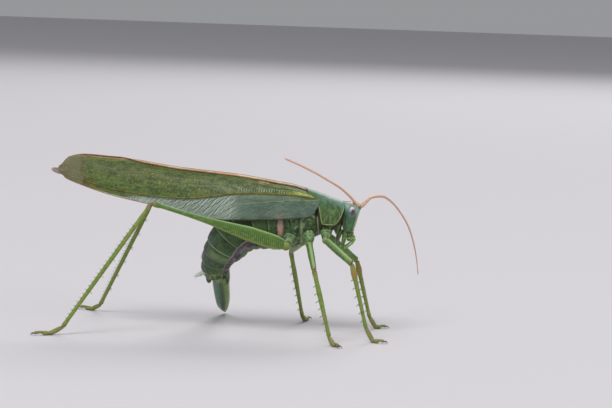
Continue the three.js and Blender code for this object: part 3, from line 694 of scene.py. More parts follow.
def abdomen_point(share, angle, lift=0):
    """Point of the abdomen's skin, or lifted off it, at an angle from the middle of the back."""
    dx, dy, dz, vx, vy, vz, half = graded(ABDOMEN, share)
    up = Vector((dx - vx, dy - vy, dz - vz)) / 2
    way = (abdomen_axis(share + 0.01) - abdomen_axis(share - 0.01)).normalized()
    wide = up.cross(way).normalized()
    high = up.length + lift
    return (abdomen_axis(share) + up.normalized() * high * math.cos(angle)
            + wide * (half + lift) * math.sin(angle))


def plate_phase(share):
    """How far a place is along the plate that it lies on."""
    i = max(k for k, end in enumerate(PLATE_ENDS[:-1]) if share >= end)
    return (share - PLATE_ENDS[i]) / (PLATE_ENDS[i + 1] - PLATE_ENDS[i])


def plate_lift(share, angle):
    """How far a point stands off the abdomen's plain form: lapping plates and a side fold."""
    around, phase = half_turns(angle), plate_phase(share)
    lap = 0.22 * smooth(phase, 0, 0.8) * (1 - smooth(phase, 0.93, 0.98)) - 0.1
    side = 1 - smooth(around, PLATE_EDGE - 0.015, PLATE_EDGE + 0.01)
    belly = smooth(around, BELLY_EDGE, 0.83)
    fold = -0.42 * hill(around, FOLD_AT, 0.05) - 0.12 * (1 - side) * (1 - belly)
    wave = math.sin(math.pi * WRINKLES * share + 5 * math.sin(9 * around))
    wrinkle = 0.07 * wave * (1 - side) * (1 - belly)
    belly_lap = 0.16 * smooth(phase, 0.05, 0.6) * (1 - smooth(phase, 0.78, 0.9)) * belly
    fade = smooth(share, 0, 0.04)
    return (lap * side * fade + fold + wrinkle + belly_lap) * (1 - 0.5 * smooth(share, 0.8, 1))


def abdomen_ring(along, angle):
    tip = smooth(along, 0.965, 1)
    point = abdomen_point(along, angle, plate_lift(along, angle))
    return point.lerp(abdomen_axis(along), 0.7 * tip ** 2)


def body_finish():
    """Dark green plates with blue-green and brown cast, a painted grey sheen near the abdomen's
    back, dull purple folds, painted shade on the chest under the saddle's edge and a pink hinge
    mark.
    """
    finish = Finish("body_skin", Coat_Weight=0.08, Coat_Roughness=0.35, Specular_IOR_Level=0.3)
    x = finish.ahead()
    around, along, belly_part, phase = finish.marks("around", "along", "abdomen", "phase")
    seam, pale, gap, cream = finish.marks("seam", "pale", "gap", "cream")
    bright_border = along.band(0.555, 0.615, 0.02) * belly_part
    cloud = finish.noise(420, 5, distortion=0.6).eased(0.38, 0.66)
    streak = finish.noise(700, 4, stretch=(0.5, 2, 0.5)).eased(0.42, 0.68)
    fine = finish.noise(3200, 4)
    plates = finish.layered(
        PLATE_GREEN,
        (PLATE_TEAL, cloud * 0.75),
        (PLATE_DARK, streak * 0.6),
        (PLATE_LIGHT, fine.eased(0.5, 0.8) * 0.5),
        (PLATE_LIGHT, along.band(0.605, 0.66, 0.015) * belly_part * around.eased(0.15, 0.4) * 0.6),
        # Painted sheen: a grey reflection near the back of the abdomen's rear plates.
        (FOLD_AND_SHEEN_GREY, around.eased(0.4, 0.16) * belly_part * along.eased(0.3, 0.5) * streak * 0.9),
        (FOLD_PURPLE, along.band(0.66, 0.7, 0.012) * belly_part * 0.65),
        (BACK_BROWN, around.eased(0.1, 0.05) * 0.8),
        (PLATE_EDGE_PALE, phase.band(0.86, 0.93, 0.02) * belly_part * (bright_border * 0.5 + 0.4)),
        (SEAM_DARK, phase.band(0.945, 1.02, 0.02) * belly_part * 0.9),
        (SEAM_DARK, phase.eased(0.06, 0) * belly_part * 0.8),
    )
    folded = around.eased(PLATE_EDGE - 0.01, PLATE_EDGE + 0.012) * belly_part
    belly = around.eased(BELLY_EDGE, 0.835) * belly_part
    blotch = finish.noise(1500).eased(0.5, 0.6)
    chest_part = 1 - belly_part
    wobble = (finish.noise(700) - 0.5) * 0.7
    scar = finish.noise(950, 5, distortion=1).eased(0.52, 0.62)
    plates = finish.layered(
        plates,
        (SEAM_DARK, scar * chest_part * 0.75),
        (PLATE_EDGE_PALE, finish.noise(1250, 4).eased(0.56, 0.64) * chest_part * 0.6),
        (SEAM_DARK, scar * belly_part * 0.3),
        (BLADE_LEAF, blotch * along.eased(0.78, 0.88) * belly_part * 0.7),
        (SEAM_DARK, scar * along.eased(0.8, 0.9) * belly_part * 0.6),
    )
    fold = finish.layered(FOLD_PURPLE, (FOLD_AND_SHEEN_GREY, cloud), (FOLD_PINK, blotch * 0.6),
                          (SEAM_DARK, streak * 0.7))
    under = finish.layered(BELLY_GREEN, (FOLD_PURPLE, streak * 0.6))
    colour = finish.layered(
        plates,
        (fold, folded),
        (FOLD_PINK, around.band(PLATE_EDGE - 0.005, PLATE_EDGE + 0.018, 0.008) * belly_part * 0.8),
        (under, belly),
        (FOLD_PINK, belly_part * folded * around.band(0.72, 0.76, 0.01) * 0.35),
        (SEAM_DARK, seam * 0.8),
        (SEAM_DARK, (x + wobble).band(-5.8, -4.1, 0.15) * around.band(0.34, 0.68, 0.05) * 0.6),
        (HINGE_PINK, (x + wobble).band(-5.45, -4.35, 0.2) * around.band(0.34, 0.68, 0.05) * 0.95),
        (PALE_LINE, pale * 0.75),
        # Painted shade: dark brown on the chest just under the saddle's edge.
        (SADDLE_SPOT, gap * 0.9),
        (PALE_LINE, cream * 0.85),
    )
    height = fine * 0.5 + finish.cells(2600, "SMOOTH_F1") * 0.6 + streak * 0.3
    finish.bump(height, 0.07, 0.55)
    return finish.done(Base_Color=colour, Roughness=0.4 + cloud * 0.2 + folded * 0.15)


def make_body():
    """One skin from the neck to the end of the abdomen."""
    def chest_marks(share, angle):
        x, _, z = chest_point(share, angle)
        part = (SEAM_TOP - z) / (SEAM_TOP - SEAM_FOOT)
        flank = smooth(abs(math.sin(angle)), 0.35, 0.6)
        # Where the chest lies just under the saddle's edge, for painted shade.
        gap = smooth(x, 2, 2.3) * (1 - smooth(x, 3.2, 3.6)) + smooth(x, 5.7, 6.2)
        pale = min(hill(x, blended(-1, -0.6, part), 0.26), 1)
        cream = hill(x, 2.3 + 0.12 * (24 - z), 0.13)
        return {
            "seam": min(3.2 * seam_depth(x, z), 1) * flank,
            "pale": pale * flank * smooth(part, 0.1, 0.4),
            "gap": gap * smooth(z, 20.6, 21.4),
            "cream": cream * flank * (1 - smooth(z, 23.6, 24.2)),
            "abdomen": 0, "phase": 0.5,
        }

    def abdomen_marks(share, angle):
        around = half_turns(angle)
        sides = hill(share, 0.012, 0.012) * smooth(around, 0.2, 0.3)
        seam = min(sides + 0.8 * hill(around, FOLD_AT, 0.022), 1)
        return {"seam": seam, "pale": 0, "gap": 0, "cream": 0, "abdomen": 1,
                "phase": plate_phase(share)}

    pieces = [
        tube("chest", 112, 150, chest_point, chest_marks),
        tube("abdomen", 120, 270, abdomen_ring, abdomen_marks),
        limb("end_plate", END_PLATE, END_PLATE_SIZE, 20, 14),
        limb("lower_plate", LOWER_PLATE, LOWER_PLATE_SIZE, 24, 20),
    ]
    body = finished(joined(pieces, "body"), body_finish())
    handed_in(body, "body", "thorax", "abdomen_base", "abdomen_middle", "abdomen_tip")


# ---------------------------------------------------------------- saddle

# Furrows across the saddle: share from the rear, depth in mm, half width.
SADDLE_FURROWS = [(0.62, 0.05, 0.05), (0.36, 0.03, 0.05)]
SADDLE_RIM_WIDTH, SADDLE_RIM_HEIGHT, SADDLE_WALL = 0.03, 0.1, 0.28


def saddle_edge(share, across):
    """Distance to the nearest margin, as a share."""
    return min(share, 1 - share, (1 - abs(across)) * 1.5)


def saddle_point(share, across):
    rear, front = graded(SADDLE_MARGINS, abs(across))
    x = blended(rear, front, share)
    top, half = graded(SADDLE_ARCH, x)
    edge = saddle_edge(share, across)
    rim = 1 - smooth(edge, 0.5 * SADDLE_RIM_WIDTH, 1.5 * SADDLE_RIM_WIDTH)
    furrow = sum(depth * hill(share, place + 0.1 * across ** 2, width)
                 for place, depth, width in SADDLE_FURROWS)
    length = smooth(share, 0.1, 0.3) * (1 - smooth(share, 0.75, 0.9))
    furrow += 0.05 * hill(abs(across), 0.42, 0.06) * length
    out = SADDLE_RIM_HEIGHT * rim - furrow * smooth(1 - abs(across), 0.12, 0.3)
    return x, *on_arch(top, top - SADDLE_HEM, half, across * math.pi / 2, out)


def saddle_finish():
    """Painted blue-green sheen over olive lobes, a netted front, a brown stripe and a pale rim."""
    finish = Finish("saddle_skin", Coat_Weight=0.08, Coat_Roughness=0.4, Specular_IOR_Level=0.3)
    across, along, edge = finish.marks("across", "along", "edge")
    cloud = finish.noise(380, 4, distortion=0.5).eased(0.36, 0.68)
    net = finish.cells(3300, "DISTANCE_TO_EDGE").eased(0.12, 0)
    near_front = along.eased(0.72, 0.86)
    mottle = finish.noise(1000, 5, stretch=(1.4, 1, 0.7)).eased(0.42, 0.62)
    streak = finish.noise(1500, 4, stretch=(1.5, 1, 0.35)).eased(0.46, 0.62)
    spot = finish.noise(1700).eased(0.52, 0.62)
    colour = finish.layered(
        SADDLE_OLIVE,
        (SADDLE_DARK, cloud * 0.7),
        # Painted sheen: blue-green over the saddle's upper side, reaching lower towards the front.
        (SADDLE_SHEEN_TEAL, across.eased(0.62, 0.3) * 0.8),
        (SADDLE_SHEEN_TEAL, near_front * across.eased(0.75, 0.45) * 0.7),
        (SADDLE_LEAF, across.band(0.22, 0.62, 0.08) * along.eased(0.34, 0.14) * 0.85),
        (SADDLE_DARK, mottle * across.eased(0.2, 0.5) * 0.75),
        (SADDLE_DARK, streak * across.eased(0.4, 0.6) * 0.7),
        (SADDLE_NET, mottle.eased(0.3, 0) * streak * across.eased(0.4, 0.55) * 0.4),
        (SADDLE_SPOT, spot * across.band(0.74, 0.9, 0.04) * along.band(0.3, 0.75, 0.1) * 0.85),
        (SADDLE_NET, net * across.eased(0.2, 0.4) * 0.22),
        (SADDLE_PINK, across.eased(0.2, 0.06) * along.eased(0.4, 0.6) * 0.7),
        (STRIPE_BROWN, across.eased(0.1, 0.05) * 0.8),
        (STRIPE_PALE, across.band(0.12, 0.15, 0.015) * 0.5),
        (SADDLE_DARK, edge.band(0.035, 0.06, 0.01) * across.eased(0.35, 0.55) * 0.5),
        (RIM_YELLOW, edge.eased(0.034, 0.02) * across.eased(0.3, 0.5) * 0.95),
    )
    height = finish.noise(3600) * 0.5 + net * 0.2 + finish.cells(2600, "SMOOTH_F1") * 0.4
    finish.bump(height, 0.05)
    return finish.done(Base_Color=colour, Roughness=0.42 + cloud * 0.14)


def make_saddle():
    """The plate behind the head: a bent sheet given a wall, with a rolled rim."""
    def surface(share, place):
        return saddle_point(share, 2 * place - 1)

    def marks(share, place):
        across = abs(2 * place - 1)
        return {"across": across, "along": share, "edge": saddle_edge(share, across)}

    saddle = walled(sheet("saddle", 96, 150, surface, marks), SADDLE_WALL, -1)
    handed_in(finished(saddle, saddle_finish()), "saddle", "prothorax")


# ---------------------------------------------------------------- head

CHEEK_SEAM = [(0.35, 8), (0.6, 8.35), (0.8, 9.1), (0.93, 9.6)]   # share down the face, x
LIP_SEAM = 21.55                   # height of the groove over the lip plate


def head_point(share, angle):
    height, rear, front, half = graded(HEAD, share)
    ahead, out = math.cos(angle), math.sin(angle)
    x = (rear + front) / 2 + (front - rear) / 2 * swell(ahead, HEAD_SQUARENESS)
    y = half * swell(out, HEAD_SQUARENESS)
    side_way = Vector((x - (rear + front) / 2, y, 0)).normalized()
    eye = Vector(((x - EYE_AT[0]) / EYE_SIZE[0], (height - EYE_AT[2]) / EYE_SIZE[2])).length
    dent = 0.1 * hill(eye, 1.1, 0.12) * smooth(abs(out), 0.5, 0.8)
    cheek = smooth(abs(out), 0.4, 0.7) * smooth(share, 0.35, 0.45)
    dent += 0.1 * hill(x, read(CHEEK_SEAM, share), 0.12) * cheek
    dent += 0.13 * hill(height, LIP_SEAM, 0.13) * smooth(ahead, 0.1, 0.4)
    dent += 0.08 * hill(abs(y), 1.25, 0.12) * smooth(ahead, 0.3, 0.6) * smooth(share, 0.3, 0.5)
    dent -= 0.12 * hill(share, 0.62, 0.2) * smooth(abs(out), 0.5, 0.9) * hill(x, 9.6, 0.9)
    place = Vector((x, y, height)) - side_way * dent
    hollow = smooth(x, 9.1, 9.9) * smooth(abs(y), 0.3, 0.6) * (1 - smooth(abs(y), 1.4, 1.8))
    place.z -= 0.5 * hollow * smooth(height, 26, 26.9)
    return tuple(place)


def head_finish():
    """Blue-green cheeks, a yellower face, a pale rear line and a brown stripe on the crown."""
    finish = Finish("head_skin", Coat_Weight=0.2, Coat_Roughness=0.22, Specular_IOR_Level=0.35)
    share, ahead, brow, rear_line, seam, crown = finish.marks(
        "along", "ahead", "brow", "rear_line", "seam", "crown")
    cloud = finish.noise(520, 4, distortion=0.4).eased(0.36, 0.66)
    mottle = finish.noise(1500, 4).eased(0.45, 0.65)
    colour = finish.layered(
        CHEEK_GREEN,
        (CHEEK_TEAL, share.eased(0.58, 0.34) * 0.9),
        (CHEEK_DARK, cloud * share.eased(0.25, 0.5, 0.3, 0.65)),
        (CHEEK_DARK, mottle * share.eased(0.3, 0.5) * 0.35),
        (CHEEK_LEAF, share.band(0.62, 0.95, 0.1) * ahead.band(-0.5, 0.5, 0.2) * mottle * 0.9),
        (FACE_YELLOW, ahead.eased(0.5, 0.85) * share.eased(0.05, 0.2) * 0.7),
        (FACE_YELLOW, ahead.band(-0.1, 0.6, 0.15) * share.band(0.08, 0.3, 0.06) * mottle * 0.3),
        (FACE_PINK, brow * 0.8),
        (PALE_LINE, rear_line * 0.85),
        (SEAM_DARK, seam * 0.75),
        (MOUTH_BROWN, share.eased(0.95, 0.985) * 0.6),
        (STRIPE_BROWN, crown * 0.8),
    )
    finish.bump(finish.noise(4200) * 0.5 + finish.cells(2500, "SMOOTH_F1") * 0.5, 0.05)
    return finish.done(Base_Color=colour, Roughness=0.32 + cloud * 0.14)


def eye_finish():
    """Glassy facets with a painted pinkish-white highlight above, and the dark false pupil."""
    finish = Finish("eye_facets", Coat_Weight=0.9, Coat_Roughness=0.08)
    facets = finish.cells(16000, randomness=0.4)
    pupil, height = finish.marks("pupil", "height")
    colour = finish.layered(
        EYE_GREY,
        # Painted highlight: pinkish white over the upper part of the eye.
        (EYE_HIGHLIGHT_PINK, height.eased(-0.1, 0.45)),
        (EYE_DARK, height.eased(-0.2, -0.6) * 0.85),
        (EYE_PUPIL, pupil.eased(0.66, 0.42)),
        (EYE_GREY, facets.eased(0.3, 0.8) * 0.25),
    )
    finish.bump(facets, 0.02, 0.6)
    return finish.done(Base_Color=colour, Roughness=0.22)


def make_eye(hand, name):
    x, y, z = EYE_AT
    eye = ball("eye_facets_" + name, (x, hand * y, z), EYE_SIZE, 40)
    notes = []
    for vertex in eye.data.vertices:
        place = vertex.co - mm(x, hand * y, z)
        local = Vector([part / size for part, size in zip(place, EYE_SIZE)]) / MM
        pupil = (local - Vector((PUPIL_AT[0], hand * PUPIL_AT[1], PUPIL_AT[2]))).length
        notes.append({"height": local.z - 0.5 * local.x, "pupil": pupil})
    handed_in(finished(marked(eye, notes), eye_finish()), "eye", "eye_" + name)


def make_head():
    def head_marks(share, angle):
        x, y, z = head_point(share, angle)
        ahead, out = math.cos(angle), abs(math.sin(angle))
        cheek = smooth(out, 0.4, 0.7) * smooth(share, 0.35, 0.45)
        seam = 0.5 * hill(x, read(CHEEK_SEAM, share), 0.09) * cheek
        seam += hill(z, LIP_SEAM, 0.1) * smooth(ahead, 0.1, 0.4) + hill(z, 20.85, 0.12) * 0.6
        rear = smooth(-ahead, 0.6, 0.8) * (1 - smooth(-ahead, 0.92, 0.99))
        crown = (1 - smooth(abs(y), 0.3, 0.55)) * smooth(z, 26.2, 26.6)
        return {
            "ahead": ahead, "seam": min(seam, 1), "rear_line": rear * smooth(share, 0.4, 0.5),
            "crown": crown * smooth(-ahead, -0.75, -0.4),
            "brow": smooth(z, 26.25, 26.6) * smooth(abs(y), 0.25, 0.6) * smooth(x, 7.6, 8.4),
        }

    pieces = [
        tube("skull", 104, 110, head_point, head_marks),
        limb("crown_peak", [(9.9, 0, 26.4), (11.05, 0, 25.95)], CROWN_PEAK, 20, 14),
    ]
    x, y, z = SOCKET
    for hand, _ in SIDES:
        course = sided([(x - 0.3, y, z - 0.3), (x + 0.08, y * 1.06, z + 0.24)], hand)
        pieces.append(limb("socket", course, SOCKET_SIZE, 24, 8))
    handed_in(finished(joined(pieces, "head_skin"), head_finish()), "body", "head")
    for side in SIDES:
        make_eye(*side)


def jaw_finish():
    """Green to brown mouthparts in upright streaks."""
    finish = Finish("jaw_horn", Coat_Weight=0.2, Coat_Roughness=0.3)
    streak = finish.noise(1500, 4, stretch=(1.6, 1, 0.35)).eased(0.42, 0.62)
    cloud = finish.noise(1200).eased(0.5, 0.7)
    colour = finish.layered(JAW_GREEN, (JAW_BROWN, streak * 0.6), (JAW_LEAF, cloud * 0.7))
    finish.bump(streak * 0.6 + finish.noise(5200, 2) * 0.3, 0.04)
    return finish.done(Base_Color=colour, Roughness=0.36 + cloud * 0.1)


def make_lip():
    """The plate over the jaws: a cut-up box, narrowed and bowed, then rounded."""
    deselect()
    bpy.ops.mesh.primitive_cube_add(size=1, location=mm(*LIP_AT))
    lip = named("lip_plate")
    bpy.ops.transform.resize(value=[size * MM for size in LIP_SIZE])
    edit_all(lip)
    bpy.ops.mesh.subdivide(number_cuts=3)
    bpy.ops.object.mode_set(mode="OBJECT")
    for vertex in lip.data.vertices:
        drop = 0.5 - vertex.co.z
        vertex.co.y *= 1 - 0.45 * drop ** 3
        vertex.co.x += -0.25 * drop ** 2 + 0.25 * (0.25 - vertex.co.y ** 2)
    modified(settled(lip), "BEVEL", width=0.1 * MM, segments=2)
    modified(lip, "SUBSURF", levels=2, render_levels=2)
    lip = finished(settled(lip), cuticle("mouth_skin", MOUTH_GREEN, MOUTH_DARK))
    handed_in(lip, "body", "labrum")


def make_mouth():
    """Lip plate, jaws and palps."""
    def ridged(share, angle):
        return 1 - 0.12 * hill(math.cos(angle), 0.2, 0.12)

    make_lip()
    pieces = []
    for hand, _ in SIDES:
        jaw, under = sided(JAW, hand), sided(UNDER_JAW, hand)
        pieces.append(limb("jaw", jaw, JAW_SIZE, 24, 24, SIDEWAYS))
        pieces.append(limb("under_jaw", under, UNDER_JAW_SIZE, 24, 34, SIDEWAYS, ridged))
    pieces.append(limb("under_lip", UNDER_LIP, UNDER_LIP_SIZE, 28, 34, SIDEWAYS, ridged))
    pieces.append(limb("throat", THROAT, THROAT_SIZE, 24, 16, SIDEWAYS))
    handed_in(finished(joined(pieces, "jaw_blades"), jaw_finish()), "body", "jaws")

    skin = cuticle("palp_skin", PALP_GREEN, PALP_DARK, 0.4)
    for hand, name in SIDES:
        for part, (course, sizes) in PALPS.items():
            piece = "palp_%s_skin_%s" % (part, name)
            palp = limb(piece, sided(course, hand), sizes, 16, 60, SIDEWAYS)
            handed_in(finished(palp, skin), "leg", "palp_%s_%s" % (part, name))


def feeler_finish():
    """Orange-brown, ringed finer than a millimetre."""
    finish = Finish("feeler_skin", Coat_Weight=0.1)
    ring, along = finish.marks("ring", "along")
    joint = ring.lines(0.38, 0.48)
    colour = finish.layered(
        FEELER_ORANGE,
        (FEELER_PINK, along.eased(0.1, 0.45) * 0.6),
        (FEELER_ROOT, along.eased(0.1, 0.03) * 0.8),
        (FEELER_DARK, joint * 0.5 + finish.noise(700).eased(0.55, 0.75) * 0.25),
    )
    finish.bump(1 - joint, 0.03, 0.7)
    return finish.done(Base_Color=colour, Roughness=0.5)


def make_feelers():
    """Two feelers: a stout first joint, a knob, then a thread of many short joints."""
    skin = feeler_finish()
    for name, (course, sizes, steps, joints) in FEELERS.items():
        feeler = limb("feeler_" + name, course, sizes, 12, steps,
                      marks=lambda share, angle, joints=joints: {"ring": share * joints})
        handed_in(finished(feeler, skin), "feeler", "antenna_" + name)


# ---------------------------------------------------------------- blade and cerci

def blade_finish():
    """Polished green, darker down the middle, with pale edges and two seams."""
    finish = Finish("blade_skin", Coat_Weight=0.3, Coat_Roughness=0.15, Specular_IOR_Level=0.3)
    around, along = finish.marks("around", "along")
    streak = finish.noise(900, 4, stretch=(2, 2, 0.4)).eased(0.4, 0.68)
    spot = finish.noise(1300).eased(0.5, 0.58) * along.eased(0.16, 0.08)
    root = along.eased(0.14, 0.05)
    colour = finish.layered(
        BLADE_GREEN,
        (BLADE_TEAL, around.eased(0.58, 0.3) * 0.8),
        (BLADE_LEAF, around.band(0.62, 0.86, 0.06) * 0.7),
        (BLADE_DARK, around.band(0.46, 0.58, 0.05) * 0.55),
        (BLADE_DARK, streak * 0.35),
        (BLADE_PALE, around.eased(0.78, 0.88) * 0.9),
        (BLADE_PALE, around.eased(0.1, 0.03) * 0.4),
        (BLADE_LEAF, root * around.band(0.35, 0.75, 0.08) * 0.8),
        (BLADE_SPOT, spot * 0.85),
        (SEAM_DARK, around.band(0.49, 0.505, 0.008) * 0.8),
        (BLADE_RUST, along.eased(0.2, 0.08) * around.eased(0.3, 0.12) * 0.7),
    )
    finish.bump(streak * 0.4 + finish.noise(5000, 2) * 0.3, 0.03)
    return finish.done(Base_Color=colour, Roughness=0.28 + streak * 0.1)


def make_blade():
    """Broad sword-like blade of paired valves, grooved where they meet."""
    def grooved(share, angle):
        around = half_turns(angle)
        return 1 - 0.16 * hill(around, 0.5, 0.03) - 0.05 * hill(around, 0.75, 0.02)

    blade = limb("egg_blade", BLADE_COURSE, BLADE_SIZE, 64, 110, (-1, 0, 0), grooved)
    handed_in(finished(blade, blade_finish()), "blade", "ovipositor")


def make_cerci():
    """Two short feelers at the tail, each with stiff hairs all round."""
    pale = cuticle("cercus_skin", CERCUS_PALE, CERCUS_GREEN, 0.5)
    for hand, name in SIDES:
        angle = math.radians(-hand * CERCUS_SPREAD - TIP_TWIST)
        root = abdomen_point(CERCUS_SHARE, angle, CERCUS_ROOT)
        way = (abdomen_point(CERCUS_SHARE, angle, 1) - root).normalized()
        side = way.orthogonal().normalized()
        pieces = [limb("cercus", [root, root + way * CERCUS_LENGTH], CERCUS_SIZE, 20, 24)]
        draw = random.Random(HAIR_SEED + hand)
        for i in range(CERCUS_HAIRS):
            share = 0.3 + 0.66 * (i + 0.5) / CERCUS_HAIRS
            out = Matrix.Rotation(draw.uniform(0, FULL_TURN), 3, way) @ side
            base = root + way * CERCUS_LENGTH * share
            tip = base + (out * 0.85 + way * 0.5) * draw.uniform(0.5, 0.8)
            pieces.append(limb("hair", [base, tip], [(0, 0.03), (1, 0.006)], 4, 1))
        cercus = joined(pieces, "cercus_skin_" + name)
        handed_in(finished(cercus, pale), "body", "cercus_" + name)


# ---------------------------------------------------------------- wings

WING_END = WING[-1][0]
# Where the wing starts: rows of [share down it, back].
WING_ROOT_LINE = [
    (0, 0.1), (0.25, -0.6), (0.4, -1.8), (0.5, -2.4), (0.66, -2.8), (0.85, -2.5), (0.95, -1.8),
    (1, -0.6),
]
MEMBRANE_TOP, MEMBRANE_WALL, VEIN_TOP = 0.2, 0.08, 0.25
# Main veins: rows of [back, share down the wing].
RADIUS = [(-2.3, 0.54), (3, 0.56), (13, 0.63), (19, 0.71), (25, 0.82), (34, 0.88), (49, 0.86)]
SUBCOSTA = [
    (-2.3, 0.62), (2, 0.66), (6, 0.72), (10.6, 0.765), (13, 0.79), (15.5, 0.86), (18, 0.94),
    (49, 0.985),
]
MEDIA = [(-2.3, 0.42), (14, 0.38), (34, 0.42), (49, 0.4)]
ANAL = [(-2.3, 0.19), (49, 0.16)]
INNER_EDGE, OUTER_EDGE = [(-3, 0.01), (50, 0.01)], [(-3, 0.988), (50, 0.988)]
# Branches between them: [part of the way down, back where each leaves].
LOWER_BRANCHES = [(0.88, 24), (0.75, 18), (0.6, 15)]
UPPER_BRANCHES = [(0.45, 11), (0.3, 24), (0.15, 9)]
BACK_BRANCHES = [(0.8, 7), (0.6, 4), (0.4, 2), (0.2, 3)]
TIP_BRANCHES = [(0.33, 29), (0.66, 31)]
COMB_START, COMB_END = 3.4, 13.6       # short pegs along the main vein
SLANT_START, SLANT_END = 12, 34        # where slanting veins cross the clear part
FRONT_END = 13.4                       # and the part over the body
APEX_START, APEX_FULL = 43.9, 44.7     # ragged border of the wing's brownish end
RAGGED = 4                             # how far the border strays, in mm
BACK_STRIP = 0.185                     # share of the wing that is brown along the back


def lap_drop(back, degrees):
    """How far the wing underneath is sunk where the two lap over the back."""
    return LAP_DROP * (1 - smooth(back, *DROP_ENDS)) * (1 - smooth(degrees, LAP_ANGLE, LAP_FADE))


def wing_place(hand, back, share, out):
    """Point on a forewing, back from the hinge and down from its inner edge, moved outwards."""
    top, bottom, half = graded(WING, back)
    tucked = 1 - smooth(back, -1.5, 3)
    top -= 0.45 * tucked
    half -= 0.75 * tucked
    start = blended(TIP_ANGLE, -LAP_ANGLE, 1 - smooth(back, *LAP_ENDS))
    degrees = blended(start, 90, share)
    sunk = lap_drop(back, degrees) if hand == RIGHT else 0
    y, z = on_arch(top - sunk, top - bottom, half, math.radians(degrees), out)
    return -back, hand * y, z


def straying(finish):
    """How far the ragged border of the wing's end strays, in mm."""
    return (finish.noise(650, 4) - 0.5) * RAGGED


def vein_start(rows):
    """Where a vein comes out from under the saddle."""
    back = 0.2
    while back > read(WING_ROOT_LINE, read(rows, back)) + 0.15:
        back -= 0.1
    return back


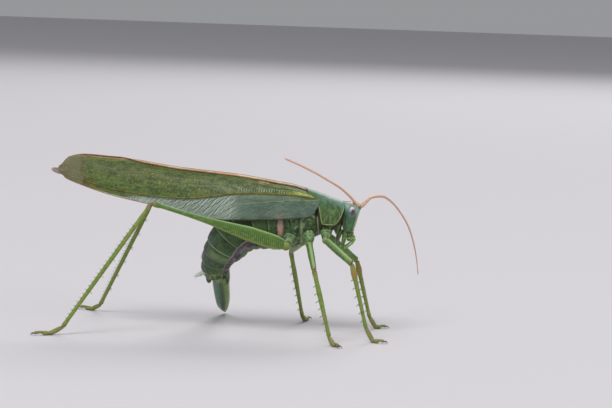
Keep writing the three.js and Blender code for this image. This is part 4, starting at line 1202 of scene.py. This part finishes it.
def wing_finish(name):
    """Netted olive over the main vein, then blue-green and clear, with a brown back, and painted
    shadow under the main vein and along the lower margin.
    """
    skin = "forewing_" + name
    finish = Finish(skin, Coat_Weight=0.05, Coat_Roughness=0.4, Specular_IOR_Level=0.25)
    back, share, below = finish.marks("back", "share", "below")
    cloud = finish.noise(230, 4, distortion=0.8).eased(0.36, 0.64)
    patch = finish.noise(420, 4, stretch=(0.6, 1, 1.4)).eased(0.44, 0.62)
    fleck = finish.noise(1300, 4).eased(0.45, 0.7)
    mottle = finish.noise(800, 5, stretch=(0.7, 1, 1.2)).eased(0.46, 0.6)
    stray = straying(finish)
    ripple = finish.noise(900, stretch=(0.5, 1, 2))
    rungs = finish.noise(1300, stretch=(1.7, 1, 0.35)).eased(0.46, 0.58)
    glint = finish.noise(2600, stretch=(1.3, 1, 0.6)).eased(0.48, 0.62)
    net = finish.cells(2900, "DISTANCE_TO_EDGE", (0.6, 1, 1.3)).eased(0.12, 0)
    clear = below.eased(0, 0.15) * back.eased(12.5, 15) * back.eased(37, 33)
    front = below.eased(0, 0.12) * back.eased(15.5, 13)
    umber = finish.noise(330, 4, stretch=(1, 1, 1.5)).eased(0.5, 0.64)
    cool = finish.noise(290, 4, stretch=(1.1, 0.8, 1.3)).eased(0.52, 0.66)
    apex = (back + stray).eased(APEX_START, APEX_FULL)
    hem = share.eased(0.965, 0.98)
    strip = (share + back.eased(30, 38) * 0.12).eased(BACK_STRIP, BACK_STRIP - 0.02)
    upper = finish.layered(
        WING_OLIVE,
        (WING_DARK, cloud * 0.4),
        (WING_GREEN, patch * back.eased(22, 36) * 0.5),
        (WING_LEAF, below.band(-2.3, -0.1, 0.4) * back.eased(12, 26) * 0.7),
        (WING_LEAF_DARK, below.band(-1, 0.2, 0.2) * back.eased(24, 30) * 0.5),
        (WING_YELLOW, share.band(0.14, 0.25, 0.03) * back.eased(24, 30) * 0.65),
        (WING_PALE, share.band(0.2, 0.42, 0.05) * back.eased(15, 6) * 0.5),
        (WING_TEAL, share.band(0.15, 0.62, 0.05) * back.band(8, 21, 4) * 0.4),
        (WING_UMBER, umber * back.eased(10, 18) * 0.4),
        (WING_COOL, cool * back.eased(12, 20) * 0.4),
        (WING_GAP, below.band(-1.15, -0.2, 0.1) * back.band(3.4, 13.2, 0.8) * 0.5),
        (WING_LEAF_DARK, below.band(-2, -0.9, 0.3) * back.band(-1, 4, 1) * 0.6),
        (WING_ROOT, back.eased(4.2, 1.4) * below.band(-1.2, 0.1, 0.2) * 0.95),
        (WING_NET, net * 0.45),
        (WING_DARK, fleck * 0.6),
        (WING_COOL, rungs * back.eased(10, 18) * 0.5),
        (WING_DARK, mottle * back.eased(2, 9) * 0.55),
        (WING_PALE, glint * back.eased(2, 9) * 0.38),
        (WING_YELLOW, mottle.eased(0.3, 0) * share.eased(0.3, 0.5) * 0.16),
    )
    over_body = finish.layered(
        WING_TEAL,
        (WING_TEAL_DARK, cloud * 0.6),
        (WING_PALE, below.eased(1.4, 0.5) * back.eased(0, 6) * 0.4),
        (WING_TEAL_DARK, ripple.eased(0.45, 0.65) * 0.6),
        (WING_STAIN_AND_SHADOW, back.band(6.5, 9.5, 0.8) * below.eased(2, 3.2) * patch * 0.35),
        (EDGE_PINK, back.band(4.5, 5.9, 0.5) * below.eased(1.6, 4.2) * 0.22),
    )
    colour = finish.layered(
        upper,
        (over_body, front),
        (finish.layered(WING_CLEAR, (WING_TEAL, patch * 0.15)), clear),
        # Painted shadow: a dark line just under the main vein.
        (WING_DARK, below.band(0.1, 0.34, 0.06) * back.eased(3, 8) * 0.6),
        (finish.layered(WING_APEX, (WING_BROWN, fleck * 0.5), (WING_APEX_DARK, patch * 0.5)), apex),
        (WING_APEX_DARK, back.band(44.6, 47.6, 0.4) * share.band(0.3, 0.66, 0.06) * 0.45),
        (WING_BROWN_DARK, (back + stray).band(APEX_START, APEX_FULL, 0.25) * fleck.eased(0, 0.4)
         * 0.9),
        (WING_BROWN_DARK, (back + stray * 0.5).eased(47.2, 47.9) * fleck.eased(0.1, 0.5) * 0.7),
        (WING_BROWN_DARK, back.band(41.6, 44.2, 0.3) * share.band(0.7, 0.86, 0.04) * fleck * 0.9),
        (WING_BROWN, share.eased(0.9, 0.96) * back.eased(39.5, 41.5) * 0.8),
        (WING_STAIN_AND_SHADOW, back.band(9.7, 10.9, 0.25) * share.band(0.2, 0.42, 0.03) * 0.8),
        (WING_STAIN_AND_SHADOW, back.band(6.9, 10, 0.3) * share.band(0.37, 0.42, 0.02) * 0.75),
        (EDGE_PALE, back.band(7.3, 9.6, 0.3) * share.band(0.23, 0.33, 0.02) * 0.75),
        (EDGE_BROWN, strip * back.eased(2, 5) * 0.95),
        (EDGE_PINK, strip * back.eased(6, 3) * 0.95),
        (EDGE_PALE, strip * cloud.eased(0.4, 0.8) * 0.5),
        # Painted shadow: a dark line along the lower margin, towards the hinge.
        (WING_STAIN_AND_SHADOW, share.eased(0.975, 0.99) * back.eased(24, 18) * 0.7),
        (HEM_WHITE, hem * back.band(29, 42, 1) * 0.85),
    )
    alpha = 1 - clear * 0.42 - front * 0.32 - apex * 0.15
    finish.bump(net * 0.35 + fleck * 0.3 + patch * 0.2, 0.05)
    return finish.done(Base_Color=colour, Roughness=0.5 - cloud * 0.1, Alpha=alpha)


def vein_lines(draw):
    """The wing's veins as (group, radius at each end, [(back, share), ...])."""
    lines, tracks = [], []

    def along(group, radius, start, end, share, crossed=True):
        count = max(int((end - start) / 0.9), 4)
        places = [blended(start, end, i / count) for i in range(count + 1)]
        lines.append((group, radius, [(back, share(back)) for back in places]))
        if crossed:
            tracks.append((start, end, share))

    def follow(rows):
        return lambda back: read(rows, back)

    def branches(group, radius, end, upper, lower, leaves, starts):
        """Long branches that leave one vein and run on between two, each at its own part."""
        for part, start in starts:
            def share(back, part=part, start=start):
                high, low = read(upper, back), read(lower, back)
                goal = blended(high, low, part)
                return blended(read(leaves, back), goal, smooth(back, start, start + 6))
            along(group, radius, start, end, share)

    def slanted(group, radius, upper, lower, start, end, step, slope):
        """Fine veins that slant back from one long vein to the next, a little wavy."""
        back = start
        while back < end:
            high = read(upper, back)
            reach = slope * (read(lower, back) - high)
            low = read(lower, back + reach)
            bow = draw.uniform(0.8, 1.05)
            if low - high > 0.02:
                wave = draw.uniform(0.1, 0.3) if group == "front" else 0.03
                turn = draw.uniform(0, FULL_TURN)
                points = []
                for i in range(10):
                    slant = reach * (i / 9) ** bow + wave * math.sin(turn + 1.1 * i)
                    points.append((back + slant, blended(high, low, i / 9)))
                lines.append((group, radius, points))
            back += step * draw.uniform(0.75, 1.25)

    along("main", (0.28, 0.1), vein_start(RADIUS), 47.8, follow(RADIUS))
    along("second", (0.16, 0.05), vein_start(SUBCOSTA), 18.5, follow(SUBCOSTA), crossed=False)
    along("stripe", (0.11, 0.06), vein_start(MEDIA), 48, follow(MEDIA))
    along("stripe", (0.1, 0.06), vein_start(ANAL), 48.3, follow(ANAL))
    along("edge", (0.1, 0.08), 0.2, 47.8, follow(INNER_EDGE))
    # The dark hem vein along the front of the lower margin is painted shadow.
    along("hem", (0.05, 0.05), 0.2, 28, follow(OUTER_EDGE), crossed=False)
    along("edge", (0.05, 0.08), 28, 47.8, follow(OUTER_EDGE))
    branches("stripe", (0.085, 0.06), 47.6, MEDIA, RADIUS, RADIUS, LOWER_BRANCHES)
    branches("net", (0.075, 0.05), 47.6, MEDIA, RADIUS, RADIUS, UPPER_BRANCHES)
    branches("net", (0.07, 0.05), 48, ANAL, MEDIA, MEDIA, BACK_BRANCHES)
    branches("stripe", (0.08, 0.05), 47.4, RADIUS, OUTER_EDGE, RADIUS, TIP_BRANCHES)
    along("comb", (0.05, 0.04), 1.5, 15, lambda back: read(RADIUS, back) - 0.1)

    back = 0.4
    while back < 47.6:
        alive = sorted(share(back) for start, end, share in tracks if start + 0.8 < back < end)
        main = read(RADIUS, back)
        for high, low in zip(alive, alive[1:]):
            netless = (high + low) / 2 > main and back < SLANT_END - 1
            combed = COMB_START < back < COMB_END and low == main
            if low - high >= 0.02 and not netless and not combed:
                place = back + draw.uniform(-0.2, 0.2)
                lines.append(("net", (0.055, 0.05), [(place, high), (place + 0.1, low)]))
        back += 0.5
    back = COMB_START
    while back < COMB_END:
        low = read(RADIUS, back)
        lines.append(("comb", (0.085, 0.065), [(back, low - 0.025), (back - 0.05, low - 0.1)]))
        back += 0.5

    slanted("clear", (0.042, 0.035), RADIUS, OUTER_EDGE, SLANT_START, SLANT_END, 0.5, 13)
    slanted("clear", (0.035, 0.03), RADIUS, OUTER_EDGE, SLANT_START, 25, 2.2, 24)
    slanted("front", (0.05, 0.035), RADIUS, SUBCOSTA, -0.5, FRONT_END, 0.9, 17)
    slanted("front", (0.06, 0.035), SUBCOSTA, OUTER_EDGE, -4.5, FRONT_END, 0.95, 16)
    slanted("front", (0.055, 0.035), SUBCOSTA, OUTER_EDGE, -6, SLANT_START, 1.7, 26)
    kept = []
    for group, radius, points in lines:
        points = [(back, share) for back, share in points if back > read(WING_ROOT_LINE, share)]
        if len(points) > 1:
            kept.append((group, radius, points))
    return kept


def vein_finish(group, colour):
    finish = Finish("vein_" + group, Specular_IOR_Level=0.3)
    cloud = finish.noise(1500, 2).eased(0.4, 0.8)
    mottle = finish.noise(800, 5, (0.7, 1, 1.2)).eased(0.46, 0.6)
    border = straying(finish) - finish.ahead()
    skin = finish.layered(
        colour,
        (VEIN_SHADE, cloud * 0.4),
        (VEIN_SHADE, mottle * 0.6),
        (WING_APEX, border.eased(APEX_START, APEX_FULL) * 0.7),
        (VEIN_UMBER, border.band(APEX_START, APEX_FULL, 0.2) * cloud),
    )
    return finish.done(Base_Color=skin, Roughness=0.5)


def vein_web(hand, name):
    """All veins of one wing, round cords half sunk in the membrane, made one mesh."""
    lines = vein_lines(random.Random(VEIN_SEED))
    webs = []
    for group, colour in VEIN_COLOURS.items():
        data = bpy.data.curves.new("veins_" + group, "CURVE")
        data.dimensions = "3D"
        data.bevel_depth = MM
        data.bevel_resolution = 1 if group == "main" else 0
        data.use_fill_caps = True
        for kind, (first, last), points in lines:
            if kind != group:
                continue
            spline = data.splines.new("POLY")
            spline.points.add(len(points) - 1)
            for i, (back, share) in enumerate(points):
                place = mm(*wing_place(hand, back, min(max(share, 0), 1), VEIN_TOP))
                thin = 1
                if group in ("main", "second"):
                    thin = blended(0.35, 1, smooth(back, -2.6, -0.4))
                spline.points[i].co = (*place, 1)
                spline.points[i].radius = blended(first, last, i / (len(points) - 1)) * thin
        choose(set_in_scene("veins_" + group, data))
        bpy.ops.object.convert(target="MESH")
        webs.append(settled(finished(bpy.context.object, vein_finish(group, colour))))
    handed_in(joined(webs, "veins_" + name), "wing")


def make_forewing(hand, name):
    def backward(along, across):
        end = WING_END + 0.5 - 1.3 * (2 * across - 1) ** 2
        return blended(read(WING_ROOT_LINE, across), end, along)

    def surface(along, across):
        return wing_place(hand, backward(along, across), across, MEMBRANE_TOP)

    def marks(along, across):
        back = backward(along, across)
        top, bottom, half = graded(WING, back)
        size = math.pi / 2 * (top - bottom + half) / 2
        return {"back": back, "share": across, "below": (across - read(RADIUS, back)) * size}

    membrane = walled(sheet("forewing_" + name, 280, 84, surface, marks), MEMBRANE_WALL, 0)
    handed_in(finished(membrane, wing_finish(name)), "wing", "tegmen_" + name)
    vein_web(hand, name)


# Hindwing: rows of [back, upper angle, lower angle, depth under the forewing].
HINDWING = [
    (3.4, 18, 36, 1.2), (9, 18, 42, 1.3), (16, 20, 48, 1.4), (22, 24, 60, 1.4), (32, 32, 70, 1.3),
    (42, 44, 78, 1.2), (47.4, 44, 86, 0.9), (49.2, 45, 88, 0.5), (50.2, 46, 78, 0.35),
    (50.9, 48, 62, 0.3),
]
HINDWING_PLEATS, PLEAT_HEIGHT, HINDWING_WALL, HINDWING_RUNGS = 9, 0.13, 0.07, 62


def hindwing_place(hand, along, across):
    back = blended(HINDWING[0][0], HINDWING[-1][0], along)
    upper, lower, depth = graded(HINDWING, back)
    top, bottom, half = graded(WING, back)
    degrees = blended(upper, lower, across)
    fold = abs((across * HINDWING_PLEATS) % 1 - 0.5) * 4 - 1
    out = -depth + PLEAT_HEIGHT * fold * (1 - 0.7 * along)
    y, z = on_arch(top - lap_drop(back, degrees), top - bottom, half, math.radians(degrees), out)
    return -back, hand * y, z


def hindwing_finish():
    """Thin pale fan, greenish at its front and pinkish at the tip, with cross veins."""
    finish = Finish("hindwing_fan", Coat_Weight=0.1)
    along, across = finish.marks("along", "across")
    rib = (across * HINDWING_PLEATS).lines(0.4, 0.48)
    rung = (along * HINDWING_RUNGS + across * 3).lines(0.4, 0.47)
    colour = finish.layered(
        FAN_PALE,
        (FAN_GREEN, across.eased(0.6, 0.9) * 0.6),
        (FAN_PINK, along.eased(0.9, 0.98) * 0.9),
        (FAN_VEIN, rib * 0.6),
        (FAN_VEIN, rung * 0.4),
    )
    finish.bump(rib + rung * 0.5, 0.04, 0.6)
    return finish.done(Base_Color=colour, Roughness=0.4, Alpha=0.8 + rib * 0.2)


def make_hindwing(hand, name):
    def surface(along, across):
        return hindwing_place(hand, along, across)

    def marks(along, across):
        return {"along": along, "across": across}

    fan = sheet("hindwing_fan_" + name, 160, 54, surface, marks)
    modified(fan, "SOLIDIFY", thickness=HINDWING_WALL * MM, offset=0)
    handed_in(finished(settled(fan), hindwing_finish()), "hindwing", "hindwing_" + name)


# ---------------------------------------------------------------- legs

# Rows of [share along, half depth, half width] for each length of each kind of leg.
COXA = {
    "fore": [(0, 0.9, 0.85), (0.25, 1.15, 1.05), (0.6, 1, 0.95), (0.9, 0.78, 0.76),
             (1, 0.45, 0.45)],
    "mid": [(0, 1, 0.95), (0.25, 1.2, 1.12), (0.6, 1.08, 1), (0.9, 0.8, 0.78), (1, 0.45, 0.45)],
    "hind": [(0, 1.3, 1.2), (0.3, 1.62, 1.5), (0.65, 1.45, 1.32), (0.92, 1.05, 1), (1, 0.6, 0.6)],
}
FEMUR = {
    "fore": [(0, 0.3, 0.3), (0.02, 0.5, 0.48), (0.07, 0.68, 0.62), (0.4, 0.72, 0.66),
             (0.8, 0.62, 0.56), (0.92, 0.6, 0.54), (0.965, 0.66, 0.5), (0.99, 0.5, 0.4),
             (1, 0.2, 0.2)],
    "mid": [(0, 0.3, 0.3), (0.02, 0.5, 0.48), (0.07, 0.7, 0.62), (0.4, 0.72, 0.64),
            (0.8, 0.6, 0.54), (0.92, 0.58, 0.52), (0.965, 0.64, 0.48), (0.99, 0.5, 0.4),
            (1, 0.2, 0.2)],
    "hind": [(0, 0.45, 0.4), (0.01, 0.75, 0.65), (0.04, 1.15, 0.95), (0.1, 1.4, 1.1),
             (0.236, 1.45, 1.1), (0.42, 1.05, 0.85), (0.6, 0.6, 0.52), (0.785, 0.43, 0.4),
             (0.92, 0.42, 0.38), (0.965, 0.6, 0.42), (0.99, 0.5, 0.36), (1, 0.2, 0.15)],
}
TIBIA = {
    "fore": [(0, 0.2, 0.2), (0.015, 0.44, 0.4), (0.06, 0.48, 0.42), (0.1, 0.55, 0.58),
             (0.15, 0.6, 0.64), (0.2, 0.56, 0.6), (0.28, 0.42, 0.42), (0.9, 0.34, 0.34),
             (0.98, 0.42, 0.4), (1, 0.2, 0.2)],
    "mid": [(0, 0.2, 0.2), (0.015, 0.44, 0.4), (0.05, 0.5, 0.44), (0.14, 0.44, 0.42),
            (0.3, 0.46, 0.42), (0.9, 0.34, 0.34), (0.98, 0.42, 0.4), (1, 0.2, 0.2)],
    "hind": [(0, 0.2, 0.2), (0.008, 0.42, 0.36), (0.03, 0.5, 0.4), (0.06, 0.36, 0.34),
             (0.12, 0.42, 0.38), (0.5, 0.4, 0.36), (0.94, 0.36, 0.34), (0.985, 0.44, 0.42),
             (1, 0.2, 0.2)],
}
HEEL_ROOT = [(0, 0.3, 0.3), (0.1, 0.36, 0.36), (0.5, 0.46, 0.5)]
LAST_JOINT_SIZE = [
    (0, 0.2, 0.2), (0.3, 0.24, 0.24), (0.85, 0.3, 0.3), (0.96, 0.32, 0.3), (1, 0.12, 0.12),
]
SPINES = {"fore": (6, 0.85), "mid": (7, 0.85), "hind": (24, 0.62)}   # in each row, and their reach
PAD_WIDTH = {"fore": 0.6, "mid": 0.62, "hind": 0.66}
EAR_START, EAR_END = 0.1, 0.2      # shares down a fore shin


def leg_finish():
    """Bright green, striped on the thighs, with a painted highlight along the top of each thigh,
    brown knees, ears, feet and spine tips.
    """
    finish = Finish("leg_skin", Coat_Weight=0.12, Coat_Roughness=0.3, Specular_IOR_Level=0.35)
    along, around, part, stout, ridge = finish.marks("along", "around", "part", "stout", "ridge")
    hip, knee, ear, spine = finish.marks("hip", "knee", "ear", "spine")
    thigh = part.band(1.5, 2.5, 0.1)
    shin = part.band(2.5, 3.5, 0.1)
    foot = part.eased(3.4, 3.6)
    root = part.eased(1.5, 1.2)
    cloud = finish.noise(650, 4).eased(0.38, 0.68)
    chevron = (along * 66 + around * 4).lines(0.26, 0.42)
    chevron *= around.band(0.2, 0.74, 0.06) * stout * thigh
    hair = finish.noise(1700, 4, stretch=(0.6, 1, 1.6)).eased(0.46, 0.66)
    slender = thigh * stout.eased(0.6, 0.4)
    shadow = finish.noise(1100, 5).eased(0.44, 0.6)
    colour = finish.layered(
        LEG_GREEN,
        (LEG_YELLOW, cloud * 0.6),
        (LEG_PALE, hair * 0.35),
        (LEG_DARK, finish.noise(1500, 4, stretch=(1, 1, 1.4)).eased(0.48, 0.6) * 0.5),
        (LEG_BLUE, root * 0.9),
        (LEG_DEEP, root * finish.noise(1100, 4).eased(0.46, 0.56) * 0.8),
        (LEG_PALE, root * finish.noise(1400, 4).eased(0.55, 0.63) * 0.7),
        (LEG_PALE, root * ridge * 0.45),
        (LEG_DEEP, root * stout * 0.45),
        (LEG_OCHRE, hip * 0.7),
        (LEG_BLUE, slender * around.band(0.12, 0.68, 0.1) * 0.45),
        (LEG_DEEP, slender * shadow * around.band(0.3, 0.95, 0.12) * 0.5),
        (LEG_OCHRE, slender * around.eased(0.6, 0.8) * 0.5),
        (LEG_DARK, around.band(0.2, 0.52, 0.08) * stout * thigh * 0.6),
        (LEG_DEEP, chevron * 0.8),
        # Painted highlight along the top of each thigh.
        (LEG_PALE, around.eased(0.2, 0.1) * thigh * 0.8),
        (LEG_YELLOW, around.eased(0.72, 0.84) * thigh * 0.7),
        (LEG_PALE, around.eased(0.9, 0.97) * thigh * 0.5),
        (LEG_DARK, around.band(0.46, 0.54, 0.03) * shin * 0.35),
        (LEG_YELLOW, shin * 0.45),
        (KNEE_BROWN, shin * cloud * 0.4),
        (KNEE_DARK, finish.noise(1700, 2).eased(0.6, 0.68) * shin * 0.6),
        (KNEE_BROWN, knee * 0.75),
        (KNEE_DARK, knee * finish.noise(1600).eased(0.48, 0.6) * 0.7),
        (EAR_BROWN, ear * 0.9),
        (FOOT_BROWN, foot * (0.45 + cloud * 0.35)),
        (SPINE_PALE, spine * 0.8),
        (SPINE_TIP, spine.eased(0.55, 0.85)),
    )
    finish.bump(finish.noise(3800) * 0.6 - chevron * 0.8, 0.05, 0.6)
    return finish.done(Base_Color=colour, Roughness=0.38 + cloud * 0.12)


def curved_point(name, base, tip, radius, bow, sides=6, steps=4):
    """A pointed spine or claw, its middle moved back by bow."""
    course = [base, base.lerp(tip, 0.55) - bow, tip]
    sizes = [(0, radius), (0.5, radius * 0.72), (1, radius * 0.08)]
    return limb(name, course, sizes, sides, steps, (tip - base).orthogonal(),
                marks=lambda share, angle: {"spine": 0.2 + 0.8 * share})


def leg_lengths(kind, root, hip, knee, ankle):
    """Coxa, hip, thigh and shin."""
    hind, fore = kind == "hind", kind == "fore"
    stout = 1 if hind else 0.25

    def ridge(share, angle):
        """Cross ridges and one lengthwise keel on the coxa's outer side."""
        keel = 0.8 * hill(half_turns(angle), 0.3, 0.04)
        return hill(share, 0.34, 0.05) + hill(share, 0.55, 0.04) + keel

    def coxa_shape(share, angle):
        return 0.95 + 0.07 * ridge(share, angle)

    def coxa_marks(share, angle):
        return {"part": 1, "ridge": min(ridge(share, angle), 1), "stout": stout}

    def thigh_shape(share, angle):
        """Flat sides and two low keels below."""
        keels = 0.06 * hill(half_turns(angle), 1, 0.05) * smooth(share, 0.1, 0.3)
        return 1 + 0.05 * math.cos(4 * angle) - keels

    def thigh_marks(share, angle):
        knee = smooth(share, 0.955, 0.985)
        return {"part": 2, "stout": stout * (1 - smooth(share, 0.5, 0.7)), "knee": knee}

    def shin_shape(share, angle):
        """Four flat sides, with a slit on either side where a foreleg has its ears."""
        slit = 0
        if fore and EAR_START < share < EAR_END + 0.03:
            slit = 0.22 * hill(half_turns(angle), 0.5, 0.05)
        return 1 + 0.07 * math.cos(4 * angle) * smooth(share, 0.2, 0.3) - slit

    def shin_marks(share, angle):
        ear = hill(share, (EAR_START + EAR_END) / 2, 0.06) * hill(half_turns(angle), 0.5, 0.22)
        knee = max(1 - smooth(share, 0.02, 0.06), smooth(share, 0.96, 1))
        return {"part": 3, "ear": min(1.3 * ear, 1) if fore else 0, "knee": knee}

    coxa = limb("coxa", [root, hip], COXA[kind], 40, 44, (1, 0, 0), coxa_shape, coxa_marks)
    knob = ball("hip", hip, (COXA[kind][3][1] * 0.95,) * 3)
    marked(knob, [{"part": 1, "hip": 1}] * len(knob.data.vertices))
    steps = 90 if hind else 46
    thigh = limb("thigh", [hip, knee], FEMUR[kind], 28, steps, (0, 0, 1), thigh_shape, thigh_marks)
    shin = limb("shin", [knee, ankle], TIBIA[kind], 20, 80, (1, 0, 0), shin_shape, shin_marks)
    return [coxa, knob, thigh, shin]


def leg_spines(name, kind, hand, knee, ankle):
    """Two rows of spines behind the shin, two sparse ones before a hind one, and four spurs."""
    along = (ankle - knee).normalized()
    behind = along.cross(Vector((0, hand, 0))).normalized()
    if behind.x > 0:
        behind = -behind
    sideways = along.cross(behind).normalized()
    bow = along * 0.04
    count, longest = SPINES[kind]
    draw = random.Random(name)
    spines = []
    for i in range(count):
        share = blended(0.17, 0.95, (i + 0.5) / count)
        middle = knee.lerp(ankle, share)
        thick = graded(TIBIA[kind], share)[0]
        reach = longest * draw.uniform(0.85, 1.1) * (0.75 + 0.35 * math.sin(math.pi * share))
        rows = [(behind, -1), (behind, 1)]
        if kind == "hind" and i % 4 == 0:
            rows += [(-behind, -0.7), (-behind, 0.7)]
        for way, lean in rows:
            out = (way + sideways * lean * 0.75).normalized()
            tip = middle + out * (thick + reach) + along * 0.38 * reach
            spines.append(curved_point("spine", middle + out * thick * 0.55, tip, 0.075, bow, 5, 3))
    for lean in (-1, 1):
        for way, reach in ((behind, 0.9), (-behind, 0.75)):
            out = (way * 0.5 + sideways * lean * 0.8).normalized()
            base = ankle - along * 0.25 + out * 0.2
            tip = base + out * 0.6 * reach + along * reach * 0.5
            spines.append(curved_point("spur", base, tip, 0.09, bow))
    return spines


def foot_ways(ankle, toe):
    """The way that a foot points on the level, the way across it, and its length."""
    heading = Vector((toe.x - ankle.x, toe.y - ankle.y, 0))
    level = heading.normalized()
    return level, Vector((-level.y, level.x, 0)), heading.length


def leg_foot(pad, ankle, toe):
    """Three padded joints and a slender last one, pad being their half width."""
    level, across, length = foot_ways(ankle, toe)

    def at(share, height):
        x, y, _ = ankle + level * share * length
        return Vector((x, y, height))

    heel = at(0.38, 0.46)
    heel_size = HEEL_ROOT + [(0.9, 0.44, pad * 0.85), (1, 0.25, 0.4)]
    pad_size = [(0, 0.25, 0.3), (0.3, 0.42, pad * 0.85), (0.8, 0.4, pad * 0.95), (1, 0.2, 0.4)]
    lobe_size = [(0, 0.2, 0.2), (0.35, 0.38, pad * 0.52), (0.75, 0.36, pad * 0.56), (1, 0.12, 0.2)]
    parts = [
        ("heel", [ankle, ankle.lerp(heel, 0.5), heel], heel_size, 20, 22),
        ("foot_pad", [at(0.3, 0.5), at(0.48, 0.42)], pad_size, 20, 12),
    ]
    for lean in (-1, 1):
        side = across * lean * pad * 0.42
        lobe = [at(0.44, 0.42) + side * 0.5, at(0.72, 0.36) + side]
        parts.append(("foot_lobe", lobe, lobe_size, 18, 14))
    last = [at(0.52, 0.62), at(0.8, 0.6), toe + Vector((0, 0, 0.05))]
    parts.append(("last_joint", last, LAST_JOINT_SIZE, 16, 24))
    return [limb(*part, marks=lambda share, angle: {"part": 4}) for part in parts]


def make_leg(name):
    """One skin from coxa to foot, with its spines, and its claws apart."""
    root, hip, knee, ankle, toe = (Vector(point) for point in LEGS[name])
    kind, side = name.split("leg_")
    pieces = leg_lengths(kind, root, hip, knee, ankle)
    pieces += leg_spines(name, kind, RIGHT if side == "right" else LEFT, knee, ankle)
    pieces += leg_foot(PAD_WIDTH[kind], ankle, toe)
    leg = joined(pieces, name + "_skin")
    for vertex in leg.data.vertices:
        vertex.co.z = max(vertex.co.z, 0)
    nodes = [name + part for part in ("_coxa", "_femur", "_tibia", "_tarsus")]
    handed_in(finished(leg, LEG_SKIN), "leg", *nodes)

    level, across, _ = foot_ways(ankle, toe)
    claws = []
    for lean in (-1, 1):
        tip = toe + level * 0.72 + across * lean * 0.54
        tip.z = 0.06
        base = toe + across * lean * 0.08
        claws.append(curved_point("claw", base, tip, 0.13, Vector((0, 0, -0.22)), 10, 14))
    handed_in(finished(joined(claws, name + "_claws"), CLAW_HORN), "foot")


# ---------------------------------------------------------------- camera, light and floor

VIEW_HEIGHT, VIEW_DISTANCE, VIEW_WIDTH = 26.1, 420, 122.4
VIEW_ELEVATION, VIEW_ROLL = math.radians(5), math.radians(2)
SENSOR, NEAREST = 36, 0.01
# Lamps: place in metres, size and power. All point at the middle of the body.
LAMPS = {
    "key_light": ((-0.7, -1.3, 1.9), 1.1, 38),
    "fill_light": ((1.6, -1.1, 0.8), 1.2, 9),
    "rim_light": ((0.5, 1.7, 1.4), 1, 18),
}
LIT_POINT = (-10, 0, 20)
SKY_COLOUR, SKY_STRENGTH = (0.8, 0.82, 0.85, 1), 0.38
FLOOR_COLOUR, FLOOR_SIZE = "cfcbcf", 40


def make_camera():
    data = bpy.data.cameras.new("camera")
    data.sensor_width = SENSOR
    data.lens = SENSOR * VIEW_DISTANCE / VIEW_WIDTH
    data.clip_start = NEAREST
    camera = set_in_scene("camera", data)
    back = Vector((0, -math.cos(VIEW_ELEVATION), math.sin(VIEW_ELEVATION)))
    upright = Vector((0, math.sin(VIEW_ELEVATION), math.cos(VIEW_ELEVATION)))
    across = Vector((1, 0, 0))
    right = across * math.cos(VIEW_ROLL) + upright * math.sin(VIEW_ROLL)
    up = upright * math.cos(VIEW_ROLL) - across * math.sin(VIEW_ROLL)
    turn = Matrix((right, up, back)).transposed().to_4x4()
    place = mm(0, 0, VIEW_HEIGHT) + back * VIEW_DISTANCE * MM
    camera.matrix_world = Matrix.Translation(place) @ turn
    bpy.context.scene.camera = camera


def make_lights():
    for name, (place, size, power) in LAMPS.items():
        data = bpy.data.lights.new(name, "AREA")
        data.size = size
        data.energy = power
        lamp = set_in_scene(name, data)
        lamp.location = place
        lamp.rotation_euler = (mm(*LIT_POINT) - Vector(place)).to_track_quat("-Z", "Y").to_euler()
    world = bpy.data.worlds.new("studio")
    world.use_nodes = True
    sky = world.node_tree.nodes["Background"].inputs
    sky["Color"].default_value = SKY_COLOUR
    sky["Strength"].default_value = SKY_STRENGTH
    bpy.context.scene.world = world


def make_floor():
    deselect()
    bpy.ops.mesh.primitive_plane_add(size=FLOOR_SIZE)
    finish = Finish("floor", Roughness=0.9)
    finished(named("floor"), finish.done(Base_Color=FLOOR_COLOUR))


LEG_SKIN = leg_finish()
CLAW_HORN = cuticle("claw_horn", CLAW_BROWN, CLAW_DARK, 0.3)

make_body()
make_saddle()
make_head()
make_mouth()
make_feelers()
make_blade()
make_cerci()
for side in SIDES:
    make_forewing(*side)
    make_hindwing(*side)
for leg in LEGS:
    make_leg(leg)
make_camera()
make_lights()
make_floor()
bpy.context.scene.view_settings.view_transform = "Standard"
